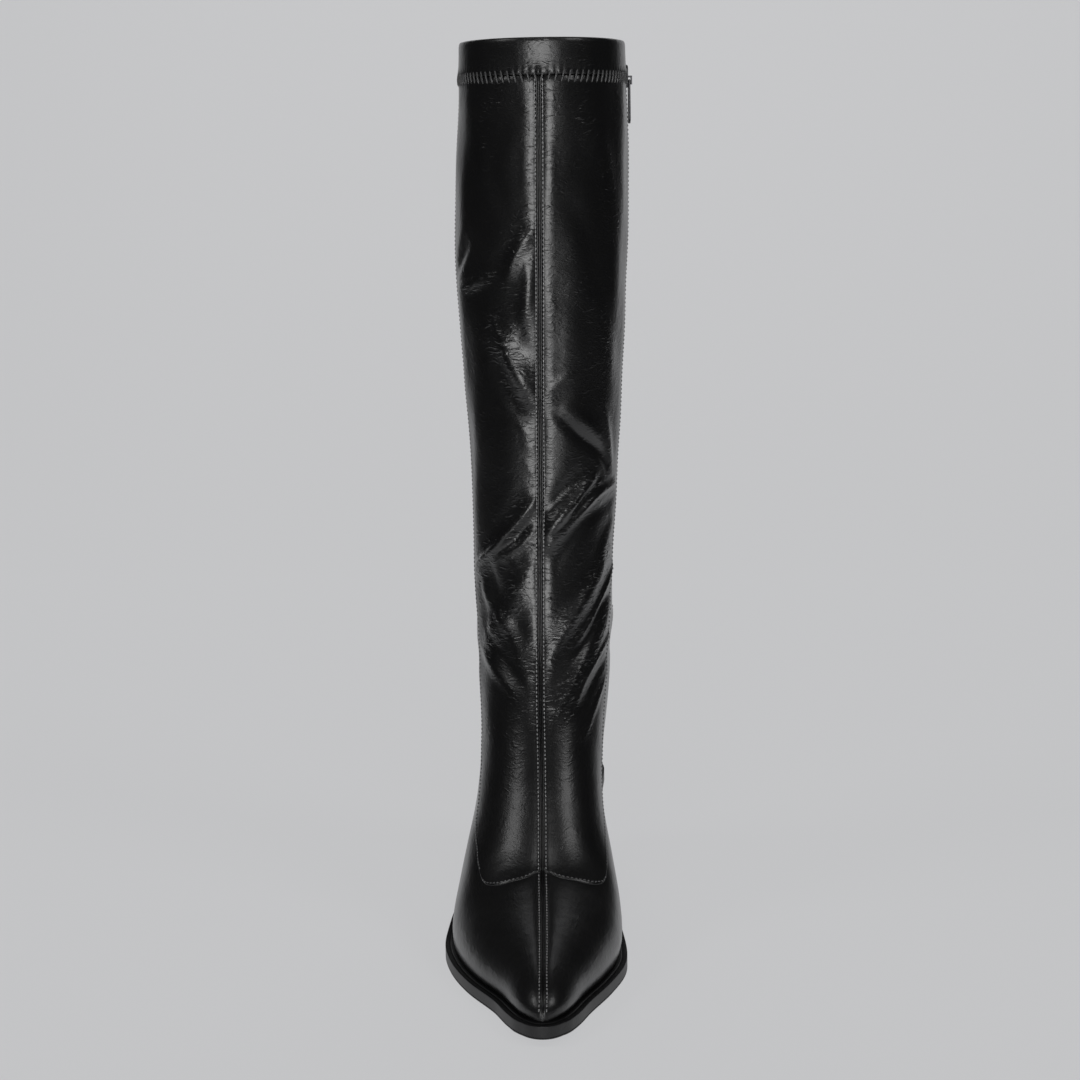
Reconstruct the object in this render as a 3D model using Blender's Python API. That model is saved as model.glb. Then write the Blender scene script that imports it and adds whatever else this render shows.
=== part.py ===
"""A knee-high leather boot for the right foot, on a block heel, empty and standing on its sole.

The boot is built along a last: a table of stations gives the outline that meets the sole, and a
table of rings gives the front and back of the upper from that outline up to the collar.
Working frame: the back of the heel is at y = 0, the toe points to -Y, +X is the inner side.
"""
import math

import bpy
import bmesh
from mathutils import Vector

# Driving sizes of the last and shaft, in metres
LAST_LENGTH = 0.284
BALL_WIDTH = 0.0936
HEEL_SEAT_WIDTH = 0.062
INSTEP_HEIGHT = 0.112
ANKLE_BACK_HEIGHT = 0.126
COLLAR_HEIGHT = 0.482
SHAFT_WIDTH = 0.095
TOE_SPRING_HEIGHT = 0.004

# Leather and seams
WALL = 0.0018
FEATHER_TUCK = 0.0020
SEAM_RIB = 0.0008
SEAM_RIB_PLACE = 0.0010
SEAM_RIB_END = 0.0024
BAND_HEIGHT = 0.0195
BAND_PROUD = 0.0004
BAND_WALL = 0.0024

# Sole and heel
SOLE_THICK = 0.0075
SOLE_LEDGE = 0.0048
WAIST_LEDGE = 0.0024
SOLE_BEVEL = 0.0009
HEEL_HEIGHT = 0.054
LIFT_THICK = 0.006
HEEL_BREAST = 0.060
HEEL_TAPER = 0.0045
INSOLE_THICK = 0.0028
INSOLE_CLEARANCE = 0.0016
HEEL_INSET = 0.0008
LIFT_BEVEL = 0.0005

# Zip on the inner side
ZIP_PLACE = 0.046
ZIP_FOOT = 0.098
ZIP_SLOT = 0.0056
TAPE_WIDTH = 0.024
TAPE_THICK = 0.0008
TAPE_TOP_DROP = 0.004
TAPE_FOOT_DROP = 0.006
CHAIN_TOP_DROP = 0.001
CHAIN_PROUD = 0.0004
SLIDER_DROP = 0.0120
SLIDER_LENGTH = 0.0125
SLIDER_WIDTH = 0.0088
SLIDER_PLATE = 0.0011
BRIDGE_WIDTH = 0.0016
BRIDGE_BAR = 0.0008
BRIDGE_LENGTH = 0.0048
BRIDGE_POST = 0.0010
PULL_LENGTH = 0.0240
PULL_WIDTH = 0.0066
PULL_THICK = 0.0011
PULL_EYE = 0.0046
PULL_RAIL = 0.0012
PULL_PIN_DROP = 0.0042
PULL_BAR_RADIUS = 0.00045

# Where the slider stands, closed, just under the collar
SLIDER_TOP = COLLAR_HEIGHT - SLIDER_DROP

# Clearances
GAP = 0.0003
PIN_GAP = 0.0004
SLIDER_GAP = 0.0004

# Mesh density
SIDE_COLUMNS = 24
ROUND_STEPS = 10
ZIP_ROWS = 30

# How far a cutter or a joined bar reaches past the face that it meets
BITE = 0.0001

# Stations along the last, from heel to toe. at: share of the last's length. half: half width as a
# share of the ball width. shift: how far the middle lies to the inner side, as a share of the ball
# width. low and top: exponents of the arch section, at its foot and at its ridge.
STATION_COLUMNS = ("at", "half", "shift", "low", "top")
STATIONS = (
    (0.000, 0.332, 0.000, 2.6, 2.0),
    (0.130, 0.335, -0.006, 2.6, 2.0),
    (0.317, 0.342, -0.034, 2.6, 2.0),
    (0.420, 0.397, -0.045, 2.5, 2.0),
    (0.510, 0.457, -0.042, 2.4, 2.0),
    (0.600, 0.488, -0.026, 2.4, 2.0),
    (0.690, 0.462, 0.005, 2.3, 2.0),
    (0.782, 0.370, 0.028, 2.2, 1.9),
    (0.877, 0.237, 0.060, 2.1, 1.8),
    (0.940, 0.168, 0.073, 2.0, 1.7),
    (1.000, 0.086, 0.082, 2.0, 1.7),
)

# Rings of the upper, from the sole line up. front_at and back_at: shares of the last's length.
# front_rise and back_rise: 0 at the sole, 1 at the instep or ankle height, 2 at the collar.
# outer and inner: half widths as shares of the shaft's width. leg: 0 foot section, 1 shaft oval.
RING_COLUMNS = ("front_at", "front_rise", "back_at", "back_rise", "outer", "inner", "leg", "seam")
RINGS = (
    (1.000, 0.000, 0.000, 0.000, 0.380, 0.345, 0.00, 0.082),
    (0.998, 0.045, -0.003, 0.070, 0.380, 0.345, 0.00, 0.084),
    (0.980, 0.105, -0.007, 0.150, 0.380, 0.345, 0.00, 0.084),
    (0.935, 0.177, -0.007, 0.240, 0.380, 0.345, 0.03, 0.077),
    (0.840, 0.262, -0.006, 0.340, 0.380, 0.345, 0.08, 0.063),
    (0.720, 0.362, -0.001, 0.460, 0.380, 0.345, 0.18, 0.042),
    (0.649, 0.452, 0.008, 0.600, 0.380, 0.345, 0.34, 0.028),
    (0.583, 0.641, 0.019, 0.780, 0.385, 0.358, 0.56, 0.019),
    (0.523, 0.852, 0.028, 1.000, 0.393, 0.371, 0.80, 0.009),
    (0.466, 1.038, 0.035, 1.050, 0.403, 0.382, 0.97, -0.003),
    (0.421, 1.130, 0.037, 1.118, 0.412, 0.390, 1.00, -0.008),
    (0.400, 1.238, 0.034, 1.216, 0.428, 0.400, 1.00, -0.007),
    (0.396, 1.360, 0.019, 1.337, 0.436, 0.422, 1.00, 0.003),
    (0.404, 1.508, 0.000, 1.489, 0.465, 0.454, 1.00, 0.008),
    (0.417, 1.643, -0.013, 1.629, 0.500, 0.478, 1.00, 0.018),
    (0.428, 1.778, -0.021, 1.770, 0.499, 0.496, 1.00, 0.024),
    (0.431, 1.900, -0.021, 1.898, 0.474, 0.490, 1.00, 0.029),
    (0.431, 2.000, -0.021, 2.000, 0.462, 0.480, 1.00, 0.029),
)
LAST_RING = len(RINGS) - 1

# Ring places of the faceted wall: close together at the foot, wider apart up the shaft
FOOT_RINGS = (0.0, 0.5, 1.0, 1.5, 2.0, 2.5, 3.0, 3.5, 4.0, 4.5, 5.0, 5.5, 6.0, 6.5, 7.0, 7.5, 8.0,
              8.5, 9.0, 9.5, 10.0, 10.5, 11.0, 11.5, 12.0, 12.5, 13.0, 13.5, 14.0, 14.5, 15.0, 15.5)

# Least distance from the wall's top ring to the ring below it, and the place where the lips of
# the front seam begin, both in rings
TOP_RING_CLEARANCE = 0.2
LIP_START_RING = 1.0

# Where the heel seat, the ball and the toe spring begin along the sole, as shares of the last
WAIST_START = 0.16
HEEL_SEAT_END = 0.20
BALL_START = 0.60
TOE_START = 0.70
SEAT_TILT = 0.0022

# How long the roundings of the plan are, as shares of the seat's width and of the last
HEEL_ROUND = 0.53
TOE_ROUND = 0.035

# Width of the pull at its eye, as a share of its widest
PULL_NECK = 0.72

# Share of the section's height over which the foot swells out from the line on the sole
TUCK_SHARE = 0.28


def curve(table, column, place):
    """Smooth value of one column of a table whose first column, or row number, is the place."""
    knots = [row[0] for row in table]
    values = [row[column] for row in table]
    place = min(max(place, knots[0]), knots[-1])
    i = 0
    while i < len(knots) - 2 and place > knots[i + 1]:
        i += 1
    step = knots[i + 1] - knots[i]
    u = (place - knots[i]) / step

    def slope(k):
        low = max(k - 1, 0)
        high = min(k + 1, len(knots) - 1)
        return (values[high] - values[low]) / (knots[high] - knots[low])

    h00 = 2 * u ** 3 - 3 * u ** 2 + 1
    h10 = u ** 3 - 2 * u ** 2 + u
    h01 = 3 * u ** 2 - 2 * u ** 3
    h11 = u ** 3 - u ** 2
    return (h00 * values[i] + h10 * step * slope(i)
            + h01 * values[i + 1] + h11 * step * slope(i + 1))


NUMBERED_RINGS = tuple((float(i),) + row for i, row in enumerate(RINGS))


def ring_value(name, place):
    return curve(NUMBERED_RINGS, RING_COLUMNS.index(name) + 1, place)


def station_value(name, at):
    return curve(STATIONS, STATION_COLUMNS.index(name), at)


def smooth_step(low, high, value):
    u = min(max((value - low) / (high - low), 0.0), 1.0)
    return u * u * (3 - 2 * u)


def mix(a, b, u):
    return a + (b - a) * u


def sole_top(s):
    """Height of the sole's upper face at a distance s from the back of the heel."""
    at = s / LAST_LENGTH
    seat = HEEL_HEIGHT + SOLE_THICK
    arch = 1 - smooth_step(WAIST_START, BALL_START, at)
    tilt = SEAT_TILT * smooth_step(HEEL_SEAT_END, 0.0, at)
    toe = max(at - TOE_START, 0.0) / (1 - TOE_START)
    return SOLE_THICK + (seat - SOLE_THICK) * arch + tilt + TOE_SPRING_HEIGHT * toe ** 1.7


def end_round(s):
    """Factor that rounds the plan at the back of the heel and at the tip of the toe."""
    heel_round = HEEL_SEAT_WIDTH * HEEL_ROUND
    toe_round = LAST_LENGTH * TOE_ROUND
    if s < heel_round:
        return math.sqrt(max(1 - ((heel_round - s) / heel_round) ** 2, 0.0))
    if s > LAST_LENGTH - toe_round:
        return math.sqrt(max(1 - ((s - LAST_LENGTH + toe_round) / toe_round) ** 2, 0.0))
    return 1.0


def body_half(s):
    """Half width of the foot a little above the sole, where it is widest."""
    at = s / LAST_LENGTH
    half = BALL_WIDTH * station_value("half", at)
    return mix(half, HEEL_SEAT_WIDTH / 2, smooth_step(0.40, 0.05, at)) * end_round(s)


def tuck(s):
    """How far the line on the sole lies inside the foot's widest line."""
    return min(FEATHER_TUCK, body_half(s) * 0.25) * end_round(s)


def feather_half(s):
    """Half width of the line where the upper meets the sole."""
    return body_half(s) - tuck(s)


def feather_shift(s):
    return BALL_WIDTH * station_value("shift", s / LAST_LENGTH)


def rise_height(rise, ground, middle):
    """Height for a rise of 0 at the ground, 1 at the middle height and 2 at the collar."""
    if rise < 1:
        return mix(ground, middle, rise)
    return mix(middle, COLLAR_HEIGHT, rise - 1)


def row_ends(row):
    """Front and back points of a table row in the side view, as distance and height."""
    front_at, front_rise, back_at, back_rise = row[:4]
    front = LAST_LENGTH * front_at
    back = LAST_LENGTH * back_at
    front_z = rise_height(front_rise, sole_top(front), INSTEP_HEIGHT)
    back_z = rise_height(back_rise, sole_top(max(back, 0)), ANKLE_BACK_HEIGHT)
    return front, front_z, back, back_z


ROW_ENDS = tuple((float(i),) + row_ends(row) for i, row in enumerate(RINGS))


def ring_ends(place):
    """Front and back points of a ring, smoothly between the table's rows."""
    return tuple(curve(ROW_ENDS, column, place) for column in (1, 2, 3, 4))


RIDGE = tuple(sorted(ring_ends(i / 4)[:2] for i in range(0, 4 * 10 + 1)))


def ridge_height(s):
    """Height of the front ridge over a point of the foot; above the foot it goes on steeply."""
    if s <= RIDGE[0][0]:
        return RIDGE[0][1] + 6 * (RIDGE[0][0] - s)
    for (s0, z0), (s1, z1) in zip(RIDGE, RIDGE[1:]):
        if s <= s1:
            return mix(z0, z1, (s - s0) / max(s1 - s0, 1e-9))
    return RIDGE[-1][1]


def form(place, turn, side):
    """Point of the upper's outer face. turn: 0 at the front seam, pi at the back. side: +1 inner."""
    front, front_z, back, back_z = ring_ends(place)
    share = (1 + math.cos(turn)) / 2
    s = mix(back, front, share)
    leg = ring_value("leg", place)
    follow = 1 - smooth_step(0.0, 1.0, place / 9)
    base = mix(mix(sole_top(max(back, 0)), sole_top(front), share), sole_top(max(s, 0)), follow)
    lift_back = back_z - sole_top(max(back, 0))
    lift_front = front_z - sole_top(front)
    z = base + mix(lift_back, lift_front, share)

    round_share = abs(2 * share - 1)
    width = SHAFT_WIDTH * ring_value("inner" if side > 0 else "outer", place)
    oval = width * (1 - round_share ** 2.15) ** (1 / 2.15)

    foot_s = LAST_LENGTH * (s - back) / (LAST_LENGTH - back)
    if place <= 0:
        foot_s = LAST_LENGTH * (s - back) / (front - back)
    at = foot_s / LAST_LENGTH
    ridge = max(ridge_height(s), z)
    depth = max(ridge - sole_top(max(s, 0)), 1e-6)
    up = min(max((z - sole_top(max(s, 0))) / depth, 0.0), 1.0)
    arch = (1 - up ** station_value("low", at)) ** (1 / station_value("top", at))
    seam = BALL_WIDTH * ring_value("seam", place)
    middle = mix(feather_shift(foot_s), seam, up ** 1.5)
    swell = tuck(foot_s) * (1 - (1 - min(up / TUCK_SHARE, 1.0)) ** 2)
    foot_x = side * (feather_half(foot_s) + swell) * arch + middle
    leg_x = side * oval + seam * share ** 3
    return Vector((mix(foot_x, leg_x, leg), -s, z))


def turn_at_distance(place, side, distance):
    """Turn at which a ring has run a distance from the front seam."""
    steps = 48
    reach = math.pi / SIDE_COLUMNS
    spot = form(place, 0.0, side)
    travel = 0.0
    for i in range(1, steps + 1):
        turn = reach * i / steps
        ahead = form(place, turn, side)
        span = (ahead - spot).length
        if travel + span >= distance:
            return reach * (i - 1 + (distance - travel) / span) / steps
        travel += span
        spot = ahead
    return reach


def side_turns(place, side):
    """Turns of one side's columns: the front seam's lips, then the stations of the sole."""
    near = [turn_at_distance(place, side, d) for d in (SEAM_RIB_PLACE, SEAM_RIB_END)]
    return near + [math.pi * i / SIDE_COLUMNS for i in range(1, SIDE_COLUMNS)]


def ring_points(place):
    """One closed ring: front seam, inner side to the back, then the outer side to the front."""
    inner = [form(place, turn, 1) for turn in side_turns(place, 1)]
    outer = [form(place, turn, -1) for turn in side_turns(place, -1)]
    return [form(place, 0.0, 1)] + inner + [form(place, math.pi, 1)] + outer[::-1]


def grid_normals(grid):
    """Outward normals of a grid of closed rings."""
    normals = []
    for i, ring in enumerate(grid):
        above = grid[min(i + 1, len(grid) - 1)]
        below = grid[max(i - 1, 0)]
        row = []
        for j in range(len(ring)):
            around = ring[(j + 1) % len(ring)] - ring[j - 1]
            row.append(around.cross(above[j] - below[j]).normalized())
        normals.append(row)
    return normals


def shell_grid(places, lift):
    """Rings at the given places, moved along their normals by lift, and level at the sole."""
    grid = [ring_points(place) for place in places]
    normals = grid_normals(grid)
    if places[0] == 0:
        normals[0] = [Vector((n.x, n.y, 0.0)).normalized() for n in normals[0]]
    return [[p + n * lift for p, n in zip(ring, row)] for ring, row in zip(grid, normals)]


def rib_lift(grid, places):
    """Raise the front seam's two lips on the rings from the lips' start to below the top ring."""
    normals = grid_normals(grid)
    for i, place in enumerate(places[:-1]):
        if place < LIP_START_RING:
            continue
        for j in (1, -1):
            grid[i][j] = grid[i][j] + normals[i][j] * SEAM_RIB
    return grid


def material(name, colour, roughness, metallic=0.0):
    made = bpy.data.materials.new(name)
    made.use_nodes = True
    shader = made.node_tree.nodes["Principled BSDF"]
    shader.inputs["Base Color"].default_value = (*colour, 1.0)
    shader.inputs["Roughness"].default_value = roughness
    shader.inputs["Metallic"].default_value = metallic
    return made


def add_object(name, points, faces, surface, origin=(0, 0, 0)):
    """A named object from points in the working frame, with its faces turned outwards."""
    mesh = bpy.data.meshes.new(name)
    mesh.from_pydata([tuple(Vector(p) - Vector(origin)) for p in points], [], faces)
    work = bmesh.new()
    work.from_mesh(mesh)
    bmesh.ops.recalc_face_normals(work, faces=work.faces)
    work.to_mesh(mesh)
    work.free()
    mesh.shade_smooth()
    mesh.set_sharp_from_angle(angle=math.radians(38))
    mesh.materials.append(surface)
    made = bpy.data.objects.new(name, mesh)
    made.location = origin
    bpy.context.collection.objects.link(made)
    return made


def tube_solid(outer, inner):
    """Points and faces of a wall between two grids of closed rings, closed at both rims."""
    count = len(outer[0])
    rows = len(outer)
    points = [p for ring in outer for p in ring] + [p for ring in inner for p in ring]
    shift = rows * count
    faces = []
    for i in range(rows - 1):
        for j in range(count):
            k = (j + 1) % count
            a, b, c, d = i * count + j, i * count + k, (i + 1) * count + k, (i + 1) * count + j
            faces.append((a, b, c, d))
            faces.append((shift + d, shift + c, shift + b, shift + a))
    for base in (0, (rows - 1) * count):
        for j in range(count):
            k = (j + 1) % count
            faces.append((base + j, base + k, shift + base + k, shift + base + j))
    return points, faces


def block_solid(sections):
    """Points and faces of a solid through sections of equal point count, closed at both ends."""
    count = len(sections[0])
    points = [p for section in sections for p in section]
    faces = []
    for i in range(len(sections) - 1):
        for j in range(count):
            k = (j + 1) % count
            faces.append((i * count + j, i * count + k, (i + 1) * count + k, (i + 1) * count + j))
    last = (len(sections) - 1) * count
    faces.append(tuple(range(count))[::-1])
    faces.append(tuple(range(last, last + count)))
    return points, faces


def cut_with_box(target, name, low, high):
    """Cut a box out of an object."""
    corners = [Vector((x, y, z)) for z in (low[2], high[2])
               for x, y in ((low[0], low[1]), (high[0], low[1]), (high[0], high[1]), (low[0], high[1]))]
    points, faces = block_solid([corners[:4], corners[4:]])
    cutter = add_object(name, points, faces, target.data.materials[0])
    join(target, cutter, "DIFFERENCE")


def sole_outline(ledge, waist_ledge, lengths):
    """Pairs of points, outer and inner side, on the sole's outline moved out by the ledge."""
    def edge(s, side):
        return Vector((side * feather_half(s) + feather_shift(s), -s))

    pairs = []
    for turn in lengths:
        s = LAST_LENGTH * (1 - math.cos(turn)) / 2
        pair = []
        for side in (-1, 1):
            step = LAST_LENGTH / 480
            near = edge(max(s - step, 0.0), side)
            far = edge(min(s + step, LAST_LENGTH), side)
            along = (far - near).normalized()
            out = Vector((-along.y, along.x)) * side
            if out.x * side < 0:
                out = -out
            if s <= step:
                out = Vector((0, 1)) if turn == 0 else Vector((side * 0.5, 0.87))
            if s >= LAST_LENGTH - step:
                out = Vector((0, -1)) if turn == lengths[-1] else Vector((side * 0.5, -0.87))
            at = s / LAST_LENGTH
            grow = mix(waist_ledge, ledge, smooth_step(0.34, 0.54, at))
            pair.append(edge(s, side) + out * grow)
        pairs.append(pair)
    return pairs


def plan_turns():
    """Stations of the sole, the same as the upper's columns."""
    return [math.pi * i / SIDE_COLUMNS for i in range(SIDE_COLUMNS + 1)]


def strip_plate(layers):
    """Points and faces of a plate through layers, each a list of outer and inner side points."""
    loops = []
    for pairs in layers:
        heel = (pairs[0][0] + pairs[0][1]) / 2
        toe = (pairs[-1][0] + pairs[-1][1]) / 2
        middle = pairs[1:-1]
        loops.append([heel] + [pair[0] for pair in middle] + [toe] + [pair[1] for pair in middle[::-1]])
    count = len(loops[0])
    points = [p for loop in loops for p in loop]
    faces = []
    for i in range(len(loops) - 1):
        for j in range(count):
            k = (j + 1) % count
            faces.append((i * count + j, i * count + k, (i + 1) * count + k, (i + 1) * count + j))
    half = count // 2
    for base in (0, (len(loops) - 1) * count):
        faces.append((base, base + 1, base + count - 1))
        for j in range(1, half - 1):
            faces.append((base + j, base + j + 1, base + count - j - 1, base + count - j))
        faces.append((base + half - 1, base + half, base + half + 1))
    return points, faces


def sole_layer(ledge, waist_ledge, drop, lengths):
    """One layer of the sole, a distance below the sole's top at each station."""
    layer = []
    for turn, pair in zip(lengths, sole_outline(ledge, waist_ledge, lengths)):
        height = sole_top(LAST_LENGTH * (1 - math.cos(turn)) / 2) - drop
        layer.append([Vector((p.x, p.y, height)) for p in pair])
    return layer


def make_upper(leather):
    seam_ring = ring_place(COLLAR_HEIGHT - BAND_HEIGHT)
    places = [p for p in FOOT_RINGS if p < seam_ring - TOP_RING_CLEARANCE] + [seam_ring]
    outer = shell_grid(places, 0.0)
    inner = shell_grid(places, -WALL)
    outer = rib_lift(outer, places)
    points, faces = tube_solid(outer, inner)
    upper = add_object("upper", points, faces, leather)
    cut_zip_slot(upper, "upper_zip_cutter")
    return upper


def cut_zip_slot(target, name):
    reach = SHAFT_WIDTH / 2
    low = (reach * 0.4, -ZIP_PLACE - ZIP_SLOT / 2, ZIP_FOOT)
    high = (reach * 1.3, -ZIP_PLACE + ZIP_SLOT / 2, COLLAR_HEIGHT + BAND_HEIGHT)
    cut_with_box(target, name, low, high)


def ring_place(height):
    """Ring number whose back and front lie at a height near the collar."""
    low, high = 11.0, float(LAST_RING)
    for _ in range(40):
        middle = (low + high) / 2
        if ring_ends(middle)[1] < height:
            low = middle
        else:
            high = middle
    return low


def make_band(leather):
    start = ring_place(COLLAR_HEIGHT - BAND_HEIGHT + GAP)
    places = [mix(start, LAST_RING, share) for share in (0.0, 0.12, 0.5, 0.88, 1.0)]
    lifts = (0.0, BAND_PROUD, BAND_PROUD, BAND_PROUD, 0.0)
    outer = shell_grid(places, 0.0)
    normals = grid_normals(outer)
    inner = [[p - n * (BAND_WALL - BAND_PROUD) for p, n in zip(ring, row)]
             for ring, row in zip(outer, normals)]
    outer = [[p + n * lift for p, n in zip(ring, row)]
             for ring, row, lift in zip(outer, normals, lifts)]
    points, faces = tube_solid(outer, inner)
    band = add_object("top_band", points, faces, leather)
    cut_zip_slot(band, "band_zip_cutter")
    return band


def make_outsole(rubber):
    turns = plan_turns()
    layers = [
        sole_layer(SOLE_LEDGE - SOLE_BEVEL, WAIST_LEDGE - SOLE_BEVEL, GAP, turns),
        sole_layer(SOLE_LEDGE, WAIST_LEDGE, GAP + SOLE_BEVEL, turns),
        sole_layer(SOLE_LEDGE, WAIST_LEDGE, SOLE_THICK - SOLE_BEVEL, turns),
        sole_layer(SOLE_LEDGE - SOLE_BEVEL, WAIST_LEDGE - SOLE_BEVEL, SOLE_THICK, turns),
    ]
    points, faces = strip_plate(layers)
    return add_object("outsole", points, faces, rubber)


def heel_outline(inset):
    """Plan of the heel: the sole's round back closed by a straight breast."""
    turns = plan_turns()
    pairs = [p for p in sole_outline(SOLE_LEDGE, WAIST_LEDGE, turns) if -p[0].y < HEEL_BREAST]
    loop = [pair[0] for pair in pairs[:0:-1]] + [pair[1] for pair in pairs]
    centre = Vector((0.0, -HEEL_BREAST / 2))
    shrink = 1 - inset / (HEEL_SEAT_WIDTH / 2)
    return [centre + (p - centre) * shrink for p in loop]


def make_heel(stack):
    levels = (0.0, 0.35, 0.7, 1.0)
    sections = []
    for share in levels:
        inset = HEEL_INSET + HEEL_TAPER * (1 - share) ** 0.7
        section = []
        for p in heel_outline(inset):
            top = sole_top(min(max(-p.y, 0.0), LAST_LENGTH)) - SOLE_THICK - GAP
            section.append(Vector((p.x, p.y, mix(LIFT_THICK + GAP, top, share))))
        sections.append(section)
    points, faces = block_solid(sections)
    return add_object("heel", points, faces, stack)


def make_heel_lift(rubber):
    inset = HEEL_INSET + HEEL_TAPER
    sections = []
    for height, extra in ((0.0, LIFT_BEVEL), (LIFT_BEVEL, 0.0), (LIFT_THICK, 0.0)):
        sections.append([Vector((p.x, p.y, height)) for p in heel_outline(inset + extra)])
    points, faces = block_solid(sections)
    return add_object("heel_top_lift", points, faces, rubber)


def make_insole(lining):
    turns = plan_turns()[1:-1]
    inset = -(WALL + INSOLE_CLEARANCE)
    layers = [sole_layer(inset, inset, -(GAP + INSOLE_THICK), turns),
              sole_layer(inset, inset, -GAP, turns)]
    points, faces = strip_plate(layers)
    return add_object("insole", points, faces, lining)


def wall_frame(y, z):
    """Point on the inner side of the shaft at a given y and height, with its outward normal."""
    def point(place):
        front, _, back, _ = ring_ends(place)
        share = min(max((-y - back) / (front - back), 0.0), 1.0)
        return form(place, math.acos(2 * share - 1), 1), share

    low, high = 4.0, float(LAST_RING)
    for _ in range(40):
        middle = (low + high) / 2
        if point(middle)[0].z < z:
            low = middle
        else:
            high = middle
    spot, share = point(low)
    turn = math.acos(2 * share - 1)
    around = form(low, turn + 0.02, 1) - form(low, turn - 0.02, 1)
    above = form(min(low + 0.1, LAST_RING), turn, 1) - form(low - 0.1, turn, 1)
    normal = around.cross(above).normalized()
    return spot, normal


def zip_strip(widths, outside, inside, z_low, z_high, rows, straight_out=False):
    """Sections of a strip that follows the wall, given places across it and its two depths."""
    sections = []
    for i in range(rows + 1):
        z = mix(z_low, z_high, i / rows)
        spots = [wall_frame(-ZIP_PLACE + w, z) for w in widths]
        if straight_out:
            spots = [(spot, Vector((1, 0, 0))) for spot, normal in spots]
        outer = [spot + normal * outside for spot, normal in spots]
        inner = [spot + normal * inside for spot, normal in spots]
        sections.append(outer + inner[::-1])
    return sections


def make_zip_tape(fabric):
    half = TAPE_WIDTH / 2
    widths = (-half, -half / 2, 0.0, half / 2, half)
    top = COLLAR_HEIGHT - TAPE_TOP_DROP
    depth = -(max(WALL, BAND_WALL - BAND_PROUD) + 2 * GAP)
    sections = zip_strip(widths, depth, depth - TAPE_THICK, ZIP_FOOT - TAPE_FOOT_DROP, top, ZIP_ROWS)
    points, faces = block_solid(sections)
    return add_object("zip_tape", points, faces, fabric)


def make_zip_chain(teeth):
    half = ZIP_SLOT / 2 - GAP
    depth = -max(WALL, BAND_WALL - BAND_PROUD)
    top = SLIDER_TOP - CHAIN_TOP_DROP
    sections = zip_strip((-half, half), CHAIN_PROUD, depth, ZIP_FOOT + GAP, top, ZIP_ROWS, True)
    points, faces = block_solid(sections)
    return add_object("zip_chain", points, faces, teeth)


def local_box(centre, axes, size):
    """Eight corners of a box in a frame of three axes, as two sections."""
    across, out, up = axes
    sections = []
    for u in (-1, 1):
        section = []
        for a, b in ((-1, -1), (1, -1), (1, 1), (-1, 1)):
            section.append(centre + across * a * size[0] / 2 + out * b * size[1] / 2 + up * u * size[2] / 2)
        sections.append(section)
    return sections


def slider_frame():
    """Middle of the slider's plate and the axes across, out of and up the wall."""
    spot, normal = wall_frame(-ZIP_PLACE, SLIDER_TOP - SLIDER_LENGTH / 2)
    out = Vector((normal.x, normal.y, 0)).normalized()
    up = Vector((0, 0, 1))
    return spot, (up.cross(out), out, up)


def pull_axis():
    """Middle of the pull's pin, between the slider's plate and its bridge."""
    spot, axes = slider_frame()
    out = plate_inside() + SLIDER_PLATE + PIN_GAP + PULL_BAR_RADIUS
    return spot + axes[1] * out - axes[2] * (SLIDER_LENGTH / 2 - PULL_PIN_DROP)


def plate_inside():
    """Height of the slider's plate over the wall's middle, clear of the chain and of the band."""
    return max(CHAIN_PROUD, BAND_PROUD) + SLIDER_GAP


def make_zip_slider(metal):
    spot, axes = slider_frame()
    across, out, up = axes
    plate_mid = spot + out * (plate_inside() + SLIDER_PLATE / 2)
    outline = []
    half_w = SLIDER_WIDTH / 2
    half_l = SLIDER_LENGTH / 2
    for i in range(ROUND_STEPS + 1):
        turn = math.pi * i / ROUND_STEPS
        outline.append((half_w * math.cos(turn), half_l - half_w * 0.5 + half_w * 0.5 * math.sin(turn)))
    outline += [(-half_w, 0.0), (-half_w * 0.62, -half_l), (half_w * 0.62, -half_l), (half_w, 0.0)]
    sections = []
    for level, inset in ((-0.5, 0.93), (-0.3, 1.0), (0.3, 1.0), (0.5, 0.93)):
        sections.append([plate_mid + across * a * inset + up * b * inset + out * level * SLIDER_PLATE
                         for a, b in outline])
    points, faces = block_solid(sections)
    slider = add_object("zip_slider", points, faces, metal)

    pin = pull_axis()
    reach = (pin - plate_mid).dot(out) + PULL_BAR_RADIUS + PIN_GAP
    middle = plate_mid + up * (pin.z - plate_mid.z)
    half = BRIDGE_LENGTH / 2
    inside = half - BRIDGE_POST
    arch = ((-half, 0), (-half, reach + BRIDGE_BAR), (half, reach + BRIDGE_BAR), (half, 0),
            (inside, 0), (inside, reach), (-inside, reach), (-inside, 0))
    sections = []
    for way in (-1, 1):
        sections.append([middle + across * way * BRIDGE_WIDTH / 2 + up * a + out * b for a, b in arch])
    points, faces = block_solid(sections)
    bridge = add_object("slider_bridge", points, faces, metal)
    join(slider, bridge, "UNION")
    return slider


def join(target, tool, way):
    """Join a hidden tool object to a solid, or cut it out."""
    tool.hide_render = True
    tool.display_type = "WIRE"
    step = target.modifiers.new(way.lower(), "BOOLEAN")
    step.operation = way
    step.solver = "EXACT"
    step.object = tool


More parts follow.
